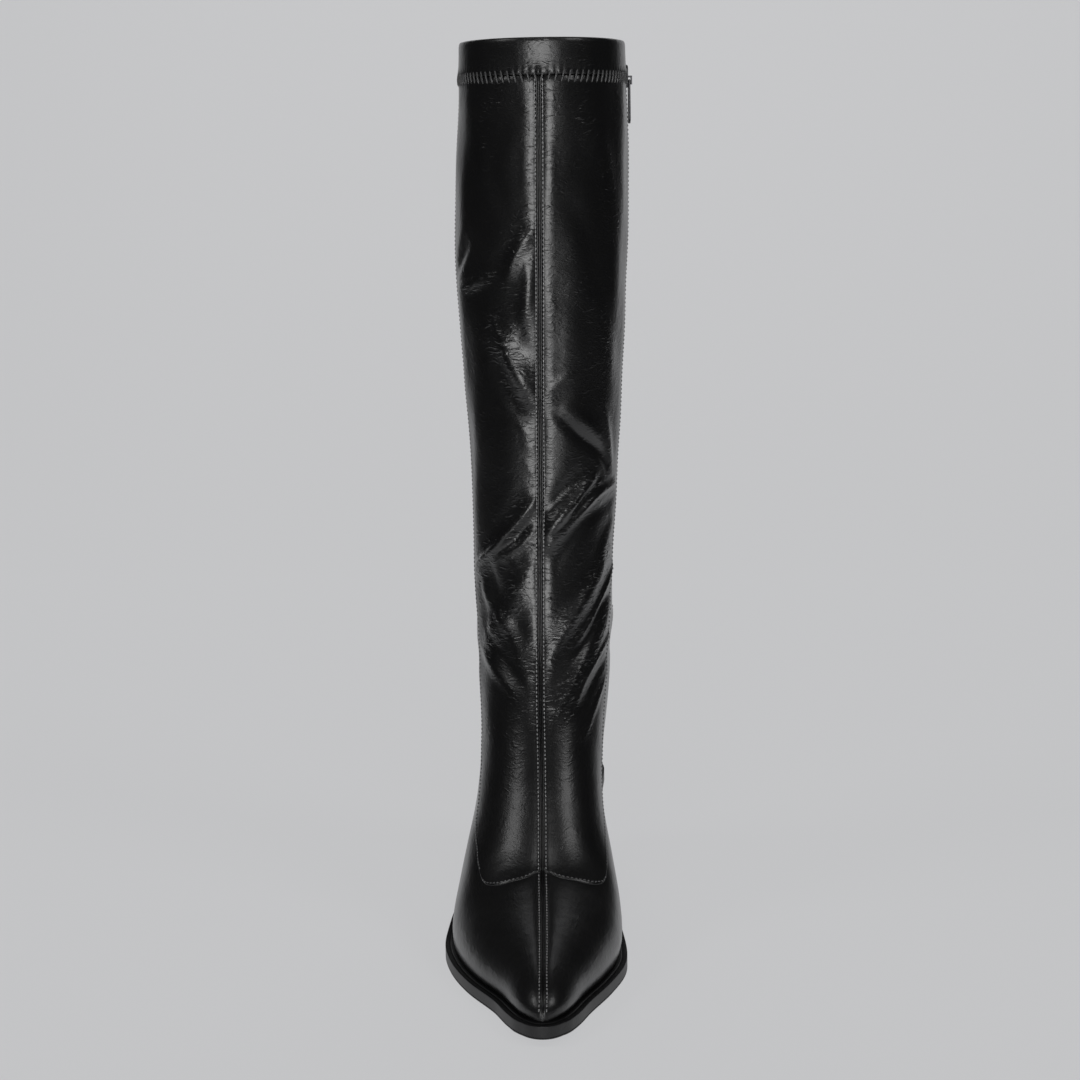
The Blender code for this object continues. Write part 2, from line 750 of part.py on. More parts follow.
def make_zip_pull(metal):
    """The pull tab: a plate with an eye, whose top bar is the pin under the bridge."""
    pin = pull_axis()
    across, out, up = slider_frame()[1]
    half = PULL_WIDTH / 2
    tip = PULL_LENGTH - PULL_BAR_RADIUS
    outline = []
    for i in range(ROUND_STEPS + 1):
        turn = math.pi * i / ROUND_STEPS
        outline.append((half * math.cos(turn), -(tip - half) - half * math.sin(turn)))
    outline = [(half * PULL_NECK, 0.0)] + [(half * PULL_NECK, -PULL_EYE)] + outline
    outline += [(-half * PULL_NECK, -PULL_EYE), (-half * PULL_NECK, 0.0)]
    sections = []
    for level, inset in ((-0.5, 0.94), (-0.25, 1.0), (0.25, 1.0), (0.5, 0.94)):
        sections.append([pin + across * a * inset + up * b + out * level * PULL_THICK
                         for a, b in outline])
    points, faces = block_solid(sections)
    pull = add_object("zip_pull", points, faces, metal, origin=pin)

    eye_half = half * PULL_NECK - PULL_RAIL
    eye = local_box(pin - up * (PULL_EYE / 2 - BITE), (across, out, up),
                    (2 * eye_half, 4 * PULL_THICK, PULL_EYE + 2 * BITE))
    points, faces = block_solid(eye)
    hole = add_object("pull_eye_cutter", points, faces, metal)
    bar_sections = []
    for way in (-1, 1):
        bar_sections.append([pin + across * way * (half * PULL_NECK - 2 * BITE)
                             + out * PULL_BAR_RADIUS * math.cos(2 * math.pi * i / ROUND_STEPS)
                             + up * PULL_BAR_RADIUS * math.sin(2 * math.pi * i / ROUND_STEPS)
                             for i in range(ROUND_STEPS)])
    points, faces = block_solid(bar_sections)
    bar = add_object("pull_bar", points, faces, metal)
    join(pull, hole, "DIFFERENCE")
    join(pull, bar, "UNION")
    return pull


def centre_on_floor():
    """Move the boot so that its box stands on z = 0 with its middle over the origin."""
    graph = bpy.context.evaluated_depsgraph_get()
    corners = []
    for item in bpy.data.objects:
        if item.type == "MESH" and not item.hide_render:
            shape = item.evaluated_get(graph)
            corners += [shape.matrix_world @ v.co for v in shape.data.vertices]
    low = Vector([min(c[k] for c in corners) for k in range(3)])
    high = Vector([max(c[k] for c in corners) for k in range(3)])
    move = Vector((-(low.x + high.x) / 2, -(low.y + high.y) / 2, -low.z))
    for item in bpy.data.objects:
        item.location = item.location + move
    bpy.context.view_layer.update()


def main():
    for item in list(bpy.data.objects):
        bpy.data.objects.remove(item, do_unlink=True)
    leather = material("black_leather", (0.010, 0.010, 0.011), 0.34)
    binding = material("band_leather", (0.012, 0.012, 0.013), 0.40)
    rubber = material("sole_rubber", (0.030, 0.030, 0.031), 0.55)
    stack = material("heel_cover", (0.014, 0.014, 0.015), 0.42)
    lift = material("lift_rubber", (0.020, 0.020, 0.020), 0.65)
    lining = material("insole_lining", (0.050, 0.047, 0.044), 0.70)
    fabric = material("zip_fabric", (0.012, 0.012, 0.013), 0.80)
    teeth = material("zip_teeth", (0.018, 0.018, 0.019), 0.45)
    metal = material("zip_metal", (0.030, 0.030, 0.032), 0.35, 0.9)
    pull_metal = material("pull_metal", (0.030, 0.030, 0.032), 0.30, 0.9)
    make_upper(leather)
    make_band(binding)
    make_outsole(rubber)
    make_heel(stack)
    make_heel_lift(lift)
    make_insole(lining)
    make_zip_tape(fabric)
    make_zip_chain(teeth)
    make_zip_slider(metal)
    make_zip_pull(pull_metal)
    bpy.context.view_layer.update()
    centre_on_floor()


main()
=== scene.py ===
"""Looks of the knee-high boot: leather, seams, creases, stitches and studio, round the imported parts."""

import math

import bmesh
import bpy
import numpy as np
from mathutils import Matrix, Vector


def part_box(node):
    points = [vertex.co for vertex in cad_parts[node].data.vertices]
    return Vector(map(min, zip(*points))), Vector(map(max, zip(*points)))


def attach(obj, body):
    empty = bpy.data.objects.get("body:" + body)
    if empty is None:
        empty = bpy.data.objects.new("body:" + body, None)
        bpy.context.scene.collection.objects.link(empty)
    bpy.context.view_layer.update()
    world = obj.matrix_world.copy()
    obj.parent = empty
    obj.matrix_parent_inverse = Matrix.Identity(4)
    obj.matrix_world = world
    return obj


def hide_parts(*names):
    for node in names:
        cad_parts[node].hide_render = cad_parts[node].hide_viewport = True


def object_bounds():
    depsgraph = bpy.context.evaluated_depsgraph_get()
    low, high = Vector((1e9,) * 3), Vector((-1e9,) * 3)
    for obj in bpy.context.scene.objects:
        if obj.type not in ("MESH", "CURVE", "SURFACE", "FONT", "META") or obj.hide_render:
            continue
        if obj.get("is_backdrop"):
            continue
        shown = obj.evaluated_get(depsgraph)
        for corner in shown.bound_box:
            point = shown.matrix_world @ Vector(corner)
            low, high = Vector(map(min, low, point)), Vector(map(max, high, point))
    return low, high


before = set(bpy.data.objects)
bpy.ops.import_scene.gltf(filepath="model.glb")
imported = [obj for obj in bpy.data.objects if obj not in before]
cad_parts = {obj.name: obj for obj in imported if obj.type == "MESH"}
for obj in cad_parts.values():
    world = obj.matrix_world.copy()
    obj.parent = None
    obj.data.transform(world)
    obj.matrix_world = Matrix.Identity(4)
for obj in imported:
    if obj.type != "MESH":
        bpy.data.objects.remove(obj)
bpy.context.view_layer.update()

# Sizes of the last, shaft, sole and zip, in metres, as in the frame
LAST_LENGTH = 0.284
BALL_WIDTH = 0.0936
HEEL_SEAT_WIDTH = 0.062
INSTEP_HEIGHT = 0.112
ANKLE_BACK_HEIGHT = 0.126
COLLAR_HEIGHT = 0.482
SHAFT_WIDTH = 0.095
TOE_SPRING = 0.004
WALL = 0.0018
FEATHER_TUCK = 0.0020
BAND_HEIGHT = 0.0195
SOLE_THICK = 0.0075
SOLE_LEDGE = 0.0048
WAIST_LEDGE = 0.0024
HEEL_HEIGHT = 0.054
LIFT_THICK = 0.006
HEEL_BREAST = 0.060
HEEL_TAPER = 0.0045
HEEL_INSET = 0.0008
ZIP_PLACE = 0.046
ZIP_FOOT = 0.098
ZIP_SLOT = 0.0056
SLIDER_TOP = 0.4700
GAP = 0.0003
SEAT_TILT = 0.0022

# Where the waist, heel seat, ball and toe spring lie along the sole, as shares of the last
WAIST_START = 0.16
HEEL_SEAT_END = 0.20
BALL_START = 0.60
TOE_START = 0.70

# Where the foot takes over from the heel seat's width, from ball to heel, as shares of the last
SEAT_BLEND = (0.40, 0.05)

# How long the roundings of the plan are, as shares of the seat's width and of the last
HEEL_ROUND = 0.53
TOE_ROUND = 0.035

# How far up the section the foot swells out, and the most that the sole's line lies inside it, as shares
TUCK_SHARE = 0.28
TUCK_LIMIT = 0.25

# Powers of the toe spring, of the shaft's oval and of the way the middle line goes over to the seam
TOE_POWER = 1.7
OVAL_POWER = 2.15
SEAM_POWER = 1.5
SEAM_FADE = 3

# The front ridge over the foot: last ring, steps, and how steeply it goes on above them
RIDGE_RING = 10
RIDGE_STEPS = 4000
RIDGE_SLOPE = 6

# Ring up to which the rings still follow the sole, and steps round the sole's edge in the part
FOLLOW_RING = 9
PART_STEPS = 24

STATION_COLUMNS = ("at", "half", "shift", "low", "top")
STATIONS = np.array((
    (0.000, 0.332, 0.000, 2.6, 2.0),
    (0.130, 0.335, -0.006, 2.6, 2.0),
    (0.317, 0.342, -0.034, 2.6, 2.0),
    (0.420, 0.397, -0.045, 2.5, 2.0),
    (0.510, 0.457, -0.042, 2.4, 2.0),
    (0.600, 0.488, -0.026, 2.4, 2.0),
    (0.690, 0.462, 0.005, 2.3, 2.0),
    (0.782, 0.370, 0.028, 2.2, 1.9),
    (0.877, 0.237, 0.060, 2.1, 1.8),
    (0.940, 0.168, 0.073, 2.0, 1.7),
    (1.000, 0.086, 0.082, 2.0, 1.7),
))
RING_COLUMNS = ("front_at", "front_rise", "back_at", "back_rise", "outer", "inner", "leg", "seam")
RINGS = np.array((
    (1.000, 0.000, 0.000, 0.000, 0.380, 0.345, 0.00, 0.082),
    (0.998, 0.045, -0.003, 0.070, 0.380, 0.345, 0.00, 0.084),
    (0.980, 0.105, -0.007, 0.150, 0.380, 0.345, 0.00, 0.084),
    (0.935, 0.177, -0.007, 0.240, 0.380, 0.345, 0.03, 0.077),
    (0.840, 0.262, -0.006, 0.340, 0.380, 0.345, 0.08, 0.063),
    (0.720, 0.362, -0.001, 0.460, 0.380, 0.345, 0.18, 0.042),
    (0.649, 0.452, 0.008, 0.600, 0.380, 0.345, 0.34, 0.028),
    (0.583, 0.641, 0.019, 0.780, 0.385, 0.358, 0.56, 0.019),
    (0.523, 0.852, 0.028, 1.000, 0.393, 0.371, 0.80, 0.009),
    (0.466, 1.038, 0.035, 1.050, 0.403, 0.382, 0.97, -0.003),
    (0.421, 1.130, 0.037, 1.118, 0.412, 0.390, 1.00, -0.008),
    (0.400, 1.238, 0.034, 1.216, 0.428, 0.400, 1.00, -0.007),
    (0.396, 1.360, 0.019, 1.337, 0.436, 0.422, 1.00, 0.003),
    (0.404, 1.508, 0.000, 1.489, 0.465, 0.454, 1.00, 0.008),
    (0.417, 1.643, -0.013, 1.629, 0.500, 0.478, 1.00, 0.018),
    (0.428, 1.778, -0.021, 1.770, 0.499, 0.496, 1.00, 0.024),
    (0.431, 1.900, -0.021, 1.898, 0.474, 0.490, 1.00, 0.029),
    (0.431, 2.000, -0.021, 2.000, 0.462, 0.480, 1.00, 0.029),
))
RING_NUMBERS = np.arange(len(RINGS), dtype=float)
LAST_RING = float(len(RINGS) - 1)


def curve(knots, values, at):
    """Smooth curve through the knots."""
    at = np.clip(at, knots[0], knots[-1])
    i = np.clip(np.searchsorted(knots, at, side="right") - 1, 0, len(knots) - 2)
    slopes = np.empty(len(knots))
    slopes[1:-1] = (values[2:] - values[:-2]) / (knots[2:] - knots[:-2])
    slopes[0] = (values[1] - values[0]) / (knots[1] - knots[0])
    slopes[-1] = (values[-1] - values[-2]) / (knots[-1] - knots[-2])
    step = knots[i + 1] - knots[i]
    u = (at - knots[i]) / step
    return ((2 * u ** 3 - 3 * u ** 2 + 1) * values[i] + (u ** 3 - 2 * u ** 2 + u) * step * slopes[i]
            + (3 * u ** 2 - 2 * u ** 3) * values[i + 1] + (u ** 3 - u ** 2) * step * slopes[i + 1])


def ring_value(name, place):
    return curve(RING_NUMBERS, RINGS[:, RING_COLUMNS.index(name)], place)


def station_value(name, at):
    return curve(STATIONS[:, 0], STATIONS[:, STATION_COLUMNS.index(name)], at)


def smooth_step(low, high, value):
    u = np.clip((value - low) / (high - low), 0.0, 1.0)
    return u * u * (3 - 2 * u)


def mix(a, b, u):
    return a + (b - a) * u


def sole_top(s):
    """Height of the sole's upper face at a distance s from the back of the heel."""
    at = np.maximum(s, 0) / LAST_LENGTH
    arch = 1 - smooth_step(WAIST_START, BALL_START, at)
    tilt = SEAT_TILT * smooth_step(HEEL_SEAT_END, 0.0, at)
    toe = np.maximum(at - TOE_START, 0.0) / (1 - TOE_START)
    return SOLE_THICK + HEEL_HEIGHT * arch + tilt + TOE_SPRING * toe ** TOE_POWER


def end_round(s):
    """Factor that rounds the plan at the back of the heel and at the tip of the toe."""
    heel = HEEL_SEAT_WIDTH * HEEL_ROUND
    toe = LAST_LENGTH * TOE_ROUND
    back = np.clip((heel - s) / heel, 0, 1)
    front = np.clip((s - LAST_LENGTH + toe) / toe, 0, 1)
    return np.sqrt(1 - back ** 2) * np.sqrt(1 - front ** 2)


def body_half(s):
    """Half width of the foot a little above the sole, where it is widest."""
    at = s / LAST_LENGTH
    half = BALL_WIDTH * station_value("half", at)
    return mix(half, HEEL_SEAT_WIDTH / 2, smooth_step(*SEAT_BLEND, at)) * end_round(s)


def tuck(s):
    """How far the line on the sole lies inside the foot's widest line."""
    return np.minimum(FEATHER_TUCK, body_half(s) * TUCK_LIMIT) * end_round(s)


def feather_half(s):
    """Half width of the line where the upper meets the sole."""
    return body_half(s) - tuck(s)


def feather_shift(s):
    return BALL_WIDTH * station_value("shift", s / LAST_LENGTH)


def rise_height(rise, ground, middle):
    """Height for a rise of 0 at the ground, 1 at the middle height and 2 at the collar."""
    return np.where(rise < 1, mix(ground, middle, rise), mix(middle, COLLAR_HEIGHT, rise - 1))


FRONT_S = LAST_LENGTH * RINGS[:, 0]
BACK_S = LAST_LENGTH * RINGS[:, 2]
FRONT_Z = rise_height(RINGS[:, 1], sole_top(FRONT_S), INSTEP_HEIGHT)
BACK_Z = rise_height(RINGS[:, 3], sole_top(BACK_S), ANKLE_BACK_HEIGHT)


def ring_ends(place):
    """Front and back points of a ring, as distance and height."""
    return tuple(curve(RING_NUMBERS, values, place) for values in (FRONT_S, FRONT_Z, BACK_S, BACK_Z))


RIDGE_S, RIDGE_Z = (values[::-1] for values in ring_ends(np.linspace(0, RIDGE_RING, RIDGE_STEPS + 1))[:2])


def ridge_height(s):
    """Height of the front ridge over a point of the foot."""
    return np.interp(s, RIDGE_S, RIDGE_Z) + RIDGE_SLOPE * np.maximum(RIDGE_S[0] - s, 0)


def form(place, turn, side):
    """Points of the upper's outer face. turn: 0 at the front seam, pi at the back. side: +1 inner."""
    place = np.maximum(place, 1e-6)
    front, front_z, back, back_z = ring_ends(place)
    share = (1 + np.cos(turn)) / 2
    s = mix(back, front, share)
    leg = ring_value("leg", place)
    follow = 1 - smooth_step(0.0, 1.0, place / FOLLOW_RING)
    base = mix(mix(sole_top(back), sole_top(front), share), sole_top(s), follow)
    z = base + mix(back_z - sole_top(back), front_z - sole_top(front), share)
    round_share = np.abs(2 * share - 1)
    width = SHAFT_WIDTH * np.where(side > 0, ring_value("inner", place), ring_value("outer", place))
    oval = width * np.maximum(1 - round_share ** OVAL_POWER, 0) ** (1 / OVAL_POWER)
    foot_s = LAST_LENGTH * (s - back) / (LAST_LENGTH - back)
    at = foot_s / LAST_LENGTH
    ridge = np.maximum(ridge_height(s), z)
    depth = np.maximum(ridge - sole_top(s), 1e-6)
    up = np.clip((z - sole_top(s)) / depth, 0.0, 1.0)
    arch = (1 - up ** station_value("low", at)) ** (1 / station_value("top", at))
    seam = BALL_WIDTH * ring_value("seam", place)
    middle = mix(feather_shift(foot_s), seam, up ** SEAM_POWER)
    swell = tuck(foot_s) * (1 - (1 - np.minimum(up / TUCK_SHARE, 1.0)) ** 2)
    foot_x = side * (feather_half(foot_s) + swell) * arch + middle
    leg_x = side * oval + seam * share ** SEAM_FADE
    return np.stack(np.broadcast_arrays(mix(foot_x, leg_x, leg), -s, z), axis=-1)


# Distances round each ring from the front seam, for both sides, and the turns that reach them
TABLE_STEP = 0.05
TABLE_PLACES = np.arange(0, LAST_RING + TABLE_STEP / 2, TABLE_STEP)
TURN_POINTS = 361
TABLE_TURNS = np.linspace(0, math.pi, TURN_POINTS)
RUNS = {}
TURNS = {}
for side in (1, -1):
    net = form(TABLE_PLACES[:, None], TABLE_TURNS[None, :], side)
    steps = np.linalg.norm(np.diff(net, axis=1), axis=2)
    runs = np.concatenate([np.zeros((len(net), 1)), np.cumsum(steps, axis=1)], axis=1)
    shares = np.linspace(0, 1, TURN_POINTS)
    RUNS[side] = runs
    TURNS[side] = np.array([np.interp(shares * row[-1], row, TABLE_TURNS) for row in runs])


def look_up(table, place, share):
    """Value between the rows and columns of a table, for places and shares of its width."""
    i = np.clip(place / TABLE_STEP, 0, len(table) - 1.001)
    j = np.clip(share, 0, 1) * (table.shape[1] - 1.001)
    i0 = i.astype(int)
    j0 = j.astype(int)
    u = i - i0
    v = j - j0
    low = table[i0, j0] * (1 - v) + table[i0, j0 + 1] * v
    high = table[i0 + 1, j0] * (1 - v) + table[i0 + 1, j0 + 1] * v
    return low * (1 - u) + high * u


def girth(place, side):
    """Length round one side of a ring."""
    return np.interp(place, TABLE_PLACES, RUNS[side][:, -1])


def run_at(place, side, s):
    """Distance round a ring from the front seam to where it is s in front of the heel's back."""
    front, _, back, _ = ring_ends(place)
    turn = np.arccos(np.clip(2 * (s - back) / (front - back) - 1, -1, 1))
    return look_up(RUNS[side], place, turn / math.pi)


def spot(place, across):
    """Points of the plain form: ring places, and signed distances from the front seam, + inner."""
    place, across = np.broadcast_arrays(np.asarray(place, float), np.asarray(across, float))
    found = np.zeros(place.shape + (3,))
    for side in (1, -1):
        here = across >= 0 if side > 0 else across < 0
        share = np.abs(across[here]) / girth(place[here], side)
        found[here] = form(place[here], look_up(TURNS[side], place[here], share), side)
    return found


def ring_height(place):
    """Height of a ring's front point."""
    return curve(RING_NUMBERS, FRONT_Z, place)


def place_at(height):
    """Ring place whose front point lies at a height."""
    return np.interp(height, ring_height(TABLE_PLACES), TABLE_PLACES)


# Creases of the shaft: rise and width in mm, then points as distance from the front seam, + inner,
# and height of the ring, both in mm
CREASES = (
    # A silhouette dent, outer side
    (-1.5, 4.0, ((-48, 378), (-58, 369), (-68, 361))),
    (1.2, 3.0, ((-62, 349), (-42, 355), (-29, 360))),
    (-0.6, 4.0, ((-45, 346), (-29, 352))),
    # Soft waves in the upper shaft
    (0.8, 6.0, ((-26, 456), (-38, 434), (-36, 408))),
    (-0.8, 5.0, ((-16, 446), (-26, 420), (-22, 398))),
    (0.9, 6.0, ((26, 440), (40, 415), (46, 384))),
    (-0.8, 5.0, ((14, 400), (26, 380), (32, 352))),
    (0.8, 6.0, ((22, 352), (36, 336), (44, 310))),
    # B under the band
    (1.2, 2.2, ((-3, 384), (-8, 378), (-14, 368), (-17, 358))),
    (0.9, 2.0, ((-6, 366), (-6, 352), (-8, 336))),
    (-1.0, 4.0, ((-14, 348), (-10, 332), (-13, 317))),
    (-0.8, 4.0, ((-9, 383), (-18, 371), (-33, 358))),
    (1.3, 5.5, ((-7, 384), (-12, 370), (-14, 356))),
    (1.0, 5.0, ((-8, 352), (-9, 338), (-12, 326))),
    # C
    (1.7, 6.0, ((-22, 330), (-17, 316), (-11, 303), (-6, 294))),
    (-1.2, 5.0, ((-30, 316), (-22, 302), (-12, 288), (-4, 280))),
    (1.3, 3.0, ((-21, 326), (-16, 314), (-10, 303), (-5, 292))),
    (0.5, 1.5, ((-33, 343), (-26, 333), (-21, 326))),
    (-0.7, 3.0, ((-7, 323), (-4, 308))),
    (-0.9, 4.0, ((-29, 321), (-21, 308), (-12, 290))),
    # D and small wrinkles
    (0.5, 2.0, ((4, 297), (12, 303), (20, 306))),
    (-0.5, 3.0, ((7, 289), (19, 297))),
    (0.4, 1.5, ((-24, 289), (-13, 284), (-5, 284))),
    (0.4, 1.5, ((-13, 280), (-5, 272))),
    (0.3, 1.5, ((-9, 270), (-3, 263))),
    (0.3, 1.5, ((-8, 258), (-2, 250))),
    # inner fold
    (-1.6, 2.5, ((10, 284), (22, 272), (37, 262), (45, 253))),
    (0.8, 2.5, ((21, 284), (29, 277), (37, 270))),
    (0.6, 3.0, ((38, 290), (48, 267), (53, 249))),
    # G and H
    (2.1, 4.2, ((31, 245), (17, 233), (9, 224), (3, 212))),
    (1.8, 2.8, ((29, 246), (15, 234), (8, 226), (2, 214))),
    (-1.2, 3.5, ((20, 250), (9, 238), (3, 228))),
    (-1.3, 2.2, ((37, 247), (25, 237), (16, 226), (8, 218))),
    (1.2, 1.4, ((59, 241), (37, 238), (21, 228), (8, 216), (4, 210))),
    (-0.8, 3.0, ((57, 233), (30, 226), (16, 214), (8, 202))),
    # E and F
    (1.3, 1.6, ((-3, 238), (-10, 228), (-18, 218), (-27, 209), (-48, 196))),
    (-0.6, 4.0, ((-10, 240), (-19, 226), (-34, 210))),
    (-1.3, 2.5, ((-5, 228), (-12, 218), (-24, 207))),
    (0.9, 2.0, ((-3, 222), (-12, 212), (-22, 206))),
    (-0.6, 3.0, ((-13, 203), (-4, 202))),
    (0.5, 2.0, ((-22, 205), (-12, 201), (-2, 201))),
    # outer side under E
    (1.5, 4.5, ((-5, 234), (-14, 223), (-28, 207), (-46, 193))),
    (1.3, 5.0, ((-8, 200), (-14, 186), (-22, 170), (-38, 152))),
    (-1.0, 5.0, ((-20, 192), (-30, 176), (-44, 164))),
    (-0.8, 3.0, ((-31, 203), (-28, 183))),
    (0.6, 3.0, ((-41, 193), (-35, 181), (-33, 165))),
    # inner lower
    (1.5, 4.5, ((50, 205), (36, 190), (22, 176), (10, 160))),
    (1.4, 4.5, ((52, 167), (38, 154), (24, 140), (12, 126))),
    (0.8, 3.2, ((56, 218), (42, 206), (38, 192))),
    (1.0, 1.5, ((62, 193), (48, 183), (38, 174), (28, 165), (19, 157))),
    (-0.7, 2.5, ((64, 180), (45, 174), (33, 163), (23, 152))),
    (0.8, 2.5, ((24, 179), (14, 166), (6, 152))),
    (1.0, 1.6, ((63, 155), (42, 148), (29, 139), (21, 127))),
    (-0.6, 2.5, ((58, 144), (43, 138), (33, 131), (25, 122))),
    (0.7, 2.2, ((31, 156), (20, 142), (9, 125))),
    (0.5, 2.0, ((55, 133), (42, 122), (26, 106))),
    # outer lower
    (0.8, 3.0, ((-38, 183), (-19, 166), (-7, 143))),
    (0.7, 3.0, ((-49, 150), (-29, 141), (-14, 132))),
    (-0.6, 4.0, ((-25, 186), (-12, 169), (-3, 150))),
    (-0.6, 3.0, ((-38, 163), (-23, 151), (-11, 138))),
    # Ankle and back of the shaft, out of sight from the front
    (-1.2, 5.0, ((-100, 150), (-84, 142), (-66, 138))),
    (1.0, 4.0, ((-104, 163), (-86, 157), (-64, 150))),
    (-1.0, 4.5, ((-112, 182), (-94, 178), (-74, 168))),
    (-1.2, 5.0, ((104, 152), (90, 144), (76, 140))),
    (1.0, 4.0, ((108, 168), (92, 160), (78, 154))),
    (-0.9, 5.0, ((112, 205), (98, 198), (84, 192))),
    (0.8, 6.0, ((-110, 240), (-90, 228), (-70, 224))),
    (-0.8, 7.0, ((-118, 310), (-96, 300), (-78, 306))),
    (0.8, 8.0, ((116, 300), (104, 280), (92, 272))),
)

# Side edge of the front panels: ring place, and distance in front of the heel's back on the outer
# and on the inner side
SIDE_SEAM = np.array((
    (4.3, 0.184, 0.182),
    (4.7, 0.178, 0.1745),
    (5.1, 0.170, 0.164),
    (5.6, 0.160, 0.152),
    (6.1, 0.140, 0.1355),
    (7.0, 0.122, 0.119),
    (7.8, 0.110, 0.108),
    (9.0, 0.095, 0.094),
    (10.0, 0.085, 0.082),
    (11.0, 0.078, 0.071),
    (12.0, 0.073, 0.064),
    (13.0, 0.069, 0.061),
    (15.0, 0.063, 0.059),
    (17.0, 0.059, 0.058),
))
# Front panels: ring places of the lower edge at the seam and at the sides, rise in mm, nominal half
# width in metres, and how far the upper goes on under them, in metres and at the foot in ring places
PANEL_CENTRE_PLACE = 5.89
PANEL_CORNER_PLACE = 4.53
PANEL_LIFT = 0.55
PANEL_HALF = 0.055
PANEL_OVERLAP = 0.005
PANEL_FOOT_OVERLAP = 0.35
SEAM_TOP = COLLAR_HEIGHT - BAND_HEIGHT
MM = 0.001

# Factors on the width and rise of every crease, and steps along its line
FOLD_WIDTH = 1.3
FOLD_RISE = 1.35
FOLD_STEPS = 24

# Front seam in mm: its lips, the groove between them and the troughs under the stitches, each with
# rise, distance from the seam and width
SEAM_RELIEF = ((0.60, 1.0, 0.45), (-0.60, 0.0, 0.36), (-0.30, 2.0, 0.60))
# Back seam in mm, as rise, distance and width
BACK_RELIEF = ((0.35, 0.9, 0.45), (-0.45, 0.0, 0.40))
# Soft padding beside the front seam in mm: distance and width on the outer and on the inner side
OUTER_PILLOW = (7.0, 3.6)
INNER_PILLOW = (6.0, 2.8)
# Pitch of the whip stitches in mm, and how far under the band they still pull on the leather
WHIP_PITCH = 3.6
WHIP_REACH = 3.2


def hill(value, middle, width):
    """Soft bump of height 1 round a middle value."""
    return np.exp(-((value - middle) / width) ** 2)


def crease_lift(across, height):
    """Rise of the leather at the creases, in mm, and how wrinkled it is there."""
    lift = np.zeros(across.shape)
    wrinkled = np.zeros(across.shape)
    for rise, width, points in CREASES:
        line = np.array(points, float)
        width = FOLD_WIDTH * width
        low = line.min(0) - 3 * width
        high = line.max(0) + 3 * width
        near = (across > low[0]) & (across < high[0]) & (height > low[1]) & (height < high[1])
        if not near.any():
            continue
        at = np.stack([across[near], height[near]], axis=1)
        knots = np.linspace(0, 1, len(line))
        path = np.stack([curve(knots, line[:, k], np.linspace(0, 1, FOLD_STEPS + 1)) for k in (0, 1)],
                        axis=1)
        best = np.full(len(at), 1e9)
        share = np.zeros(len(at))
        for k in range(FOLD_STEPS):
            step = path[k + 1] - path[k]
            u = np.clip(((at - path[k]) @ step) / (step @ step), 0, 1)
            away = np.hypot(*(at - path[k] - u[:, None] * step).T)
            closer = away < best
            best[closer] = away[closer]
            share[closer] = (k + u[closer]) / FOLD_STEPS
        taper = 0.35 + 0.65 * np.sin(math.pi * share)
        lift[near] += FOLD_RISE * rise * taper * hill(best, 0, width)
        if rise > 0:
            wrinkled[near] = np.maximum(wrinkled[near], 0.8 * rise * hill(best, 0, 1.6 * width))
    return lift, np.clip(wrinkled, 0, 1)


def surface_lift(place, across):
    """Rise of the leather over the plain form, in mm, and how wrinkled it is."""
    round_mm = across / MM
    side = np.abs(round_mm)
    height = ring_height(place) / MM
    lift, wrinkled = crease_lift(round_mm, height)
    shaft = smooth_step(7.0, 10.0, place)
    toe = smooth_step(0.3, 1.6, place)
    lift = lift + toe * sum(rise * hill(side, *spot_width) for rise, *spot_width in SEAM_RELIEF)
    pillow = np.where(across < 0, hill(side, *OUTER_PILLOW), hill(side, *INNER_PILLOW))
    sway = 0.33 + 0.14 * np.sin(height * 0.062 + 0.6) + 0.08 * np.sin(height * 0.17)
    lift = lift + smooth_step(7.0, 10.5, place) * sway * pillow
    lift = lift + shaft * 0.32 * (np.sin(round_mm * 0.11 + height * 0.043) * np.sin(height * 0.071 + 1.3)
                                  + 0.6 * np.sin(round_mm * 0.23 - height * 0.031 + 0.8))
    behind = (np.where(across > 0, girth(place, 1), girth(place, -1)) - np.abs(across)) / MM
    lift = lift + sum(rise * hill(behind, *spot_width) for rise, *spot_width in BACK_RELIEF)
    under = SEAM_TOP / MM - height
    pull = hill(under, 0, WHIP_REACH)
    lift = lift + pull * (0.28 * np.cos(2 * math.pi * round_mm / WHIP_PITCH) + 0.25)
    lift = lift - 1.0 * smooth_step(1.3, 0.0, under)
    wrinkled = np.maximum(wrinkled, shaft * 0.6 * hill(side, 4.5, 4.0))
    wrinkled = np.maximum(wrinkled, 0.16 + 0.16 * shaft)
    return lift, wrinkled


def normals_at(place, across):
    """Outward normals of the plain form."""
    reach = 0.0006
    step = 0.03
    around = spot(place, across + reach) - spot(place, across - reach)
    above = spot(np.minimum(place + step, LAST_RING), across) - spot(np.maximum(place - step, 0), across)
    found = np.cross(around, above)
    return found / np.maximum(np.linalg.norm(found, axis=-1, keepdims=True), 1e-12)


def surface(place, across, lift=0.0):
    """Points of the leather's face raised by lift, in mm, with the normals and the wrinkles."""
    place, across, lift = np.broadcast_arrays(np.asarray(place, float), np.asarray(across, float), lift)
    rise, wrinkled = surface_lift(place, across)
    normals = normals_at(place, across)
    return spot(place, across) + normals * ((rise + lift) * MM)[..., None] + MOVE, normals, wrinkled


# Where the ledge grows from the waist's to the forefoot's, as shares of the last
LEDGE_BLEND = (0.34, 0.54)


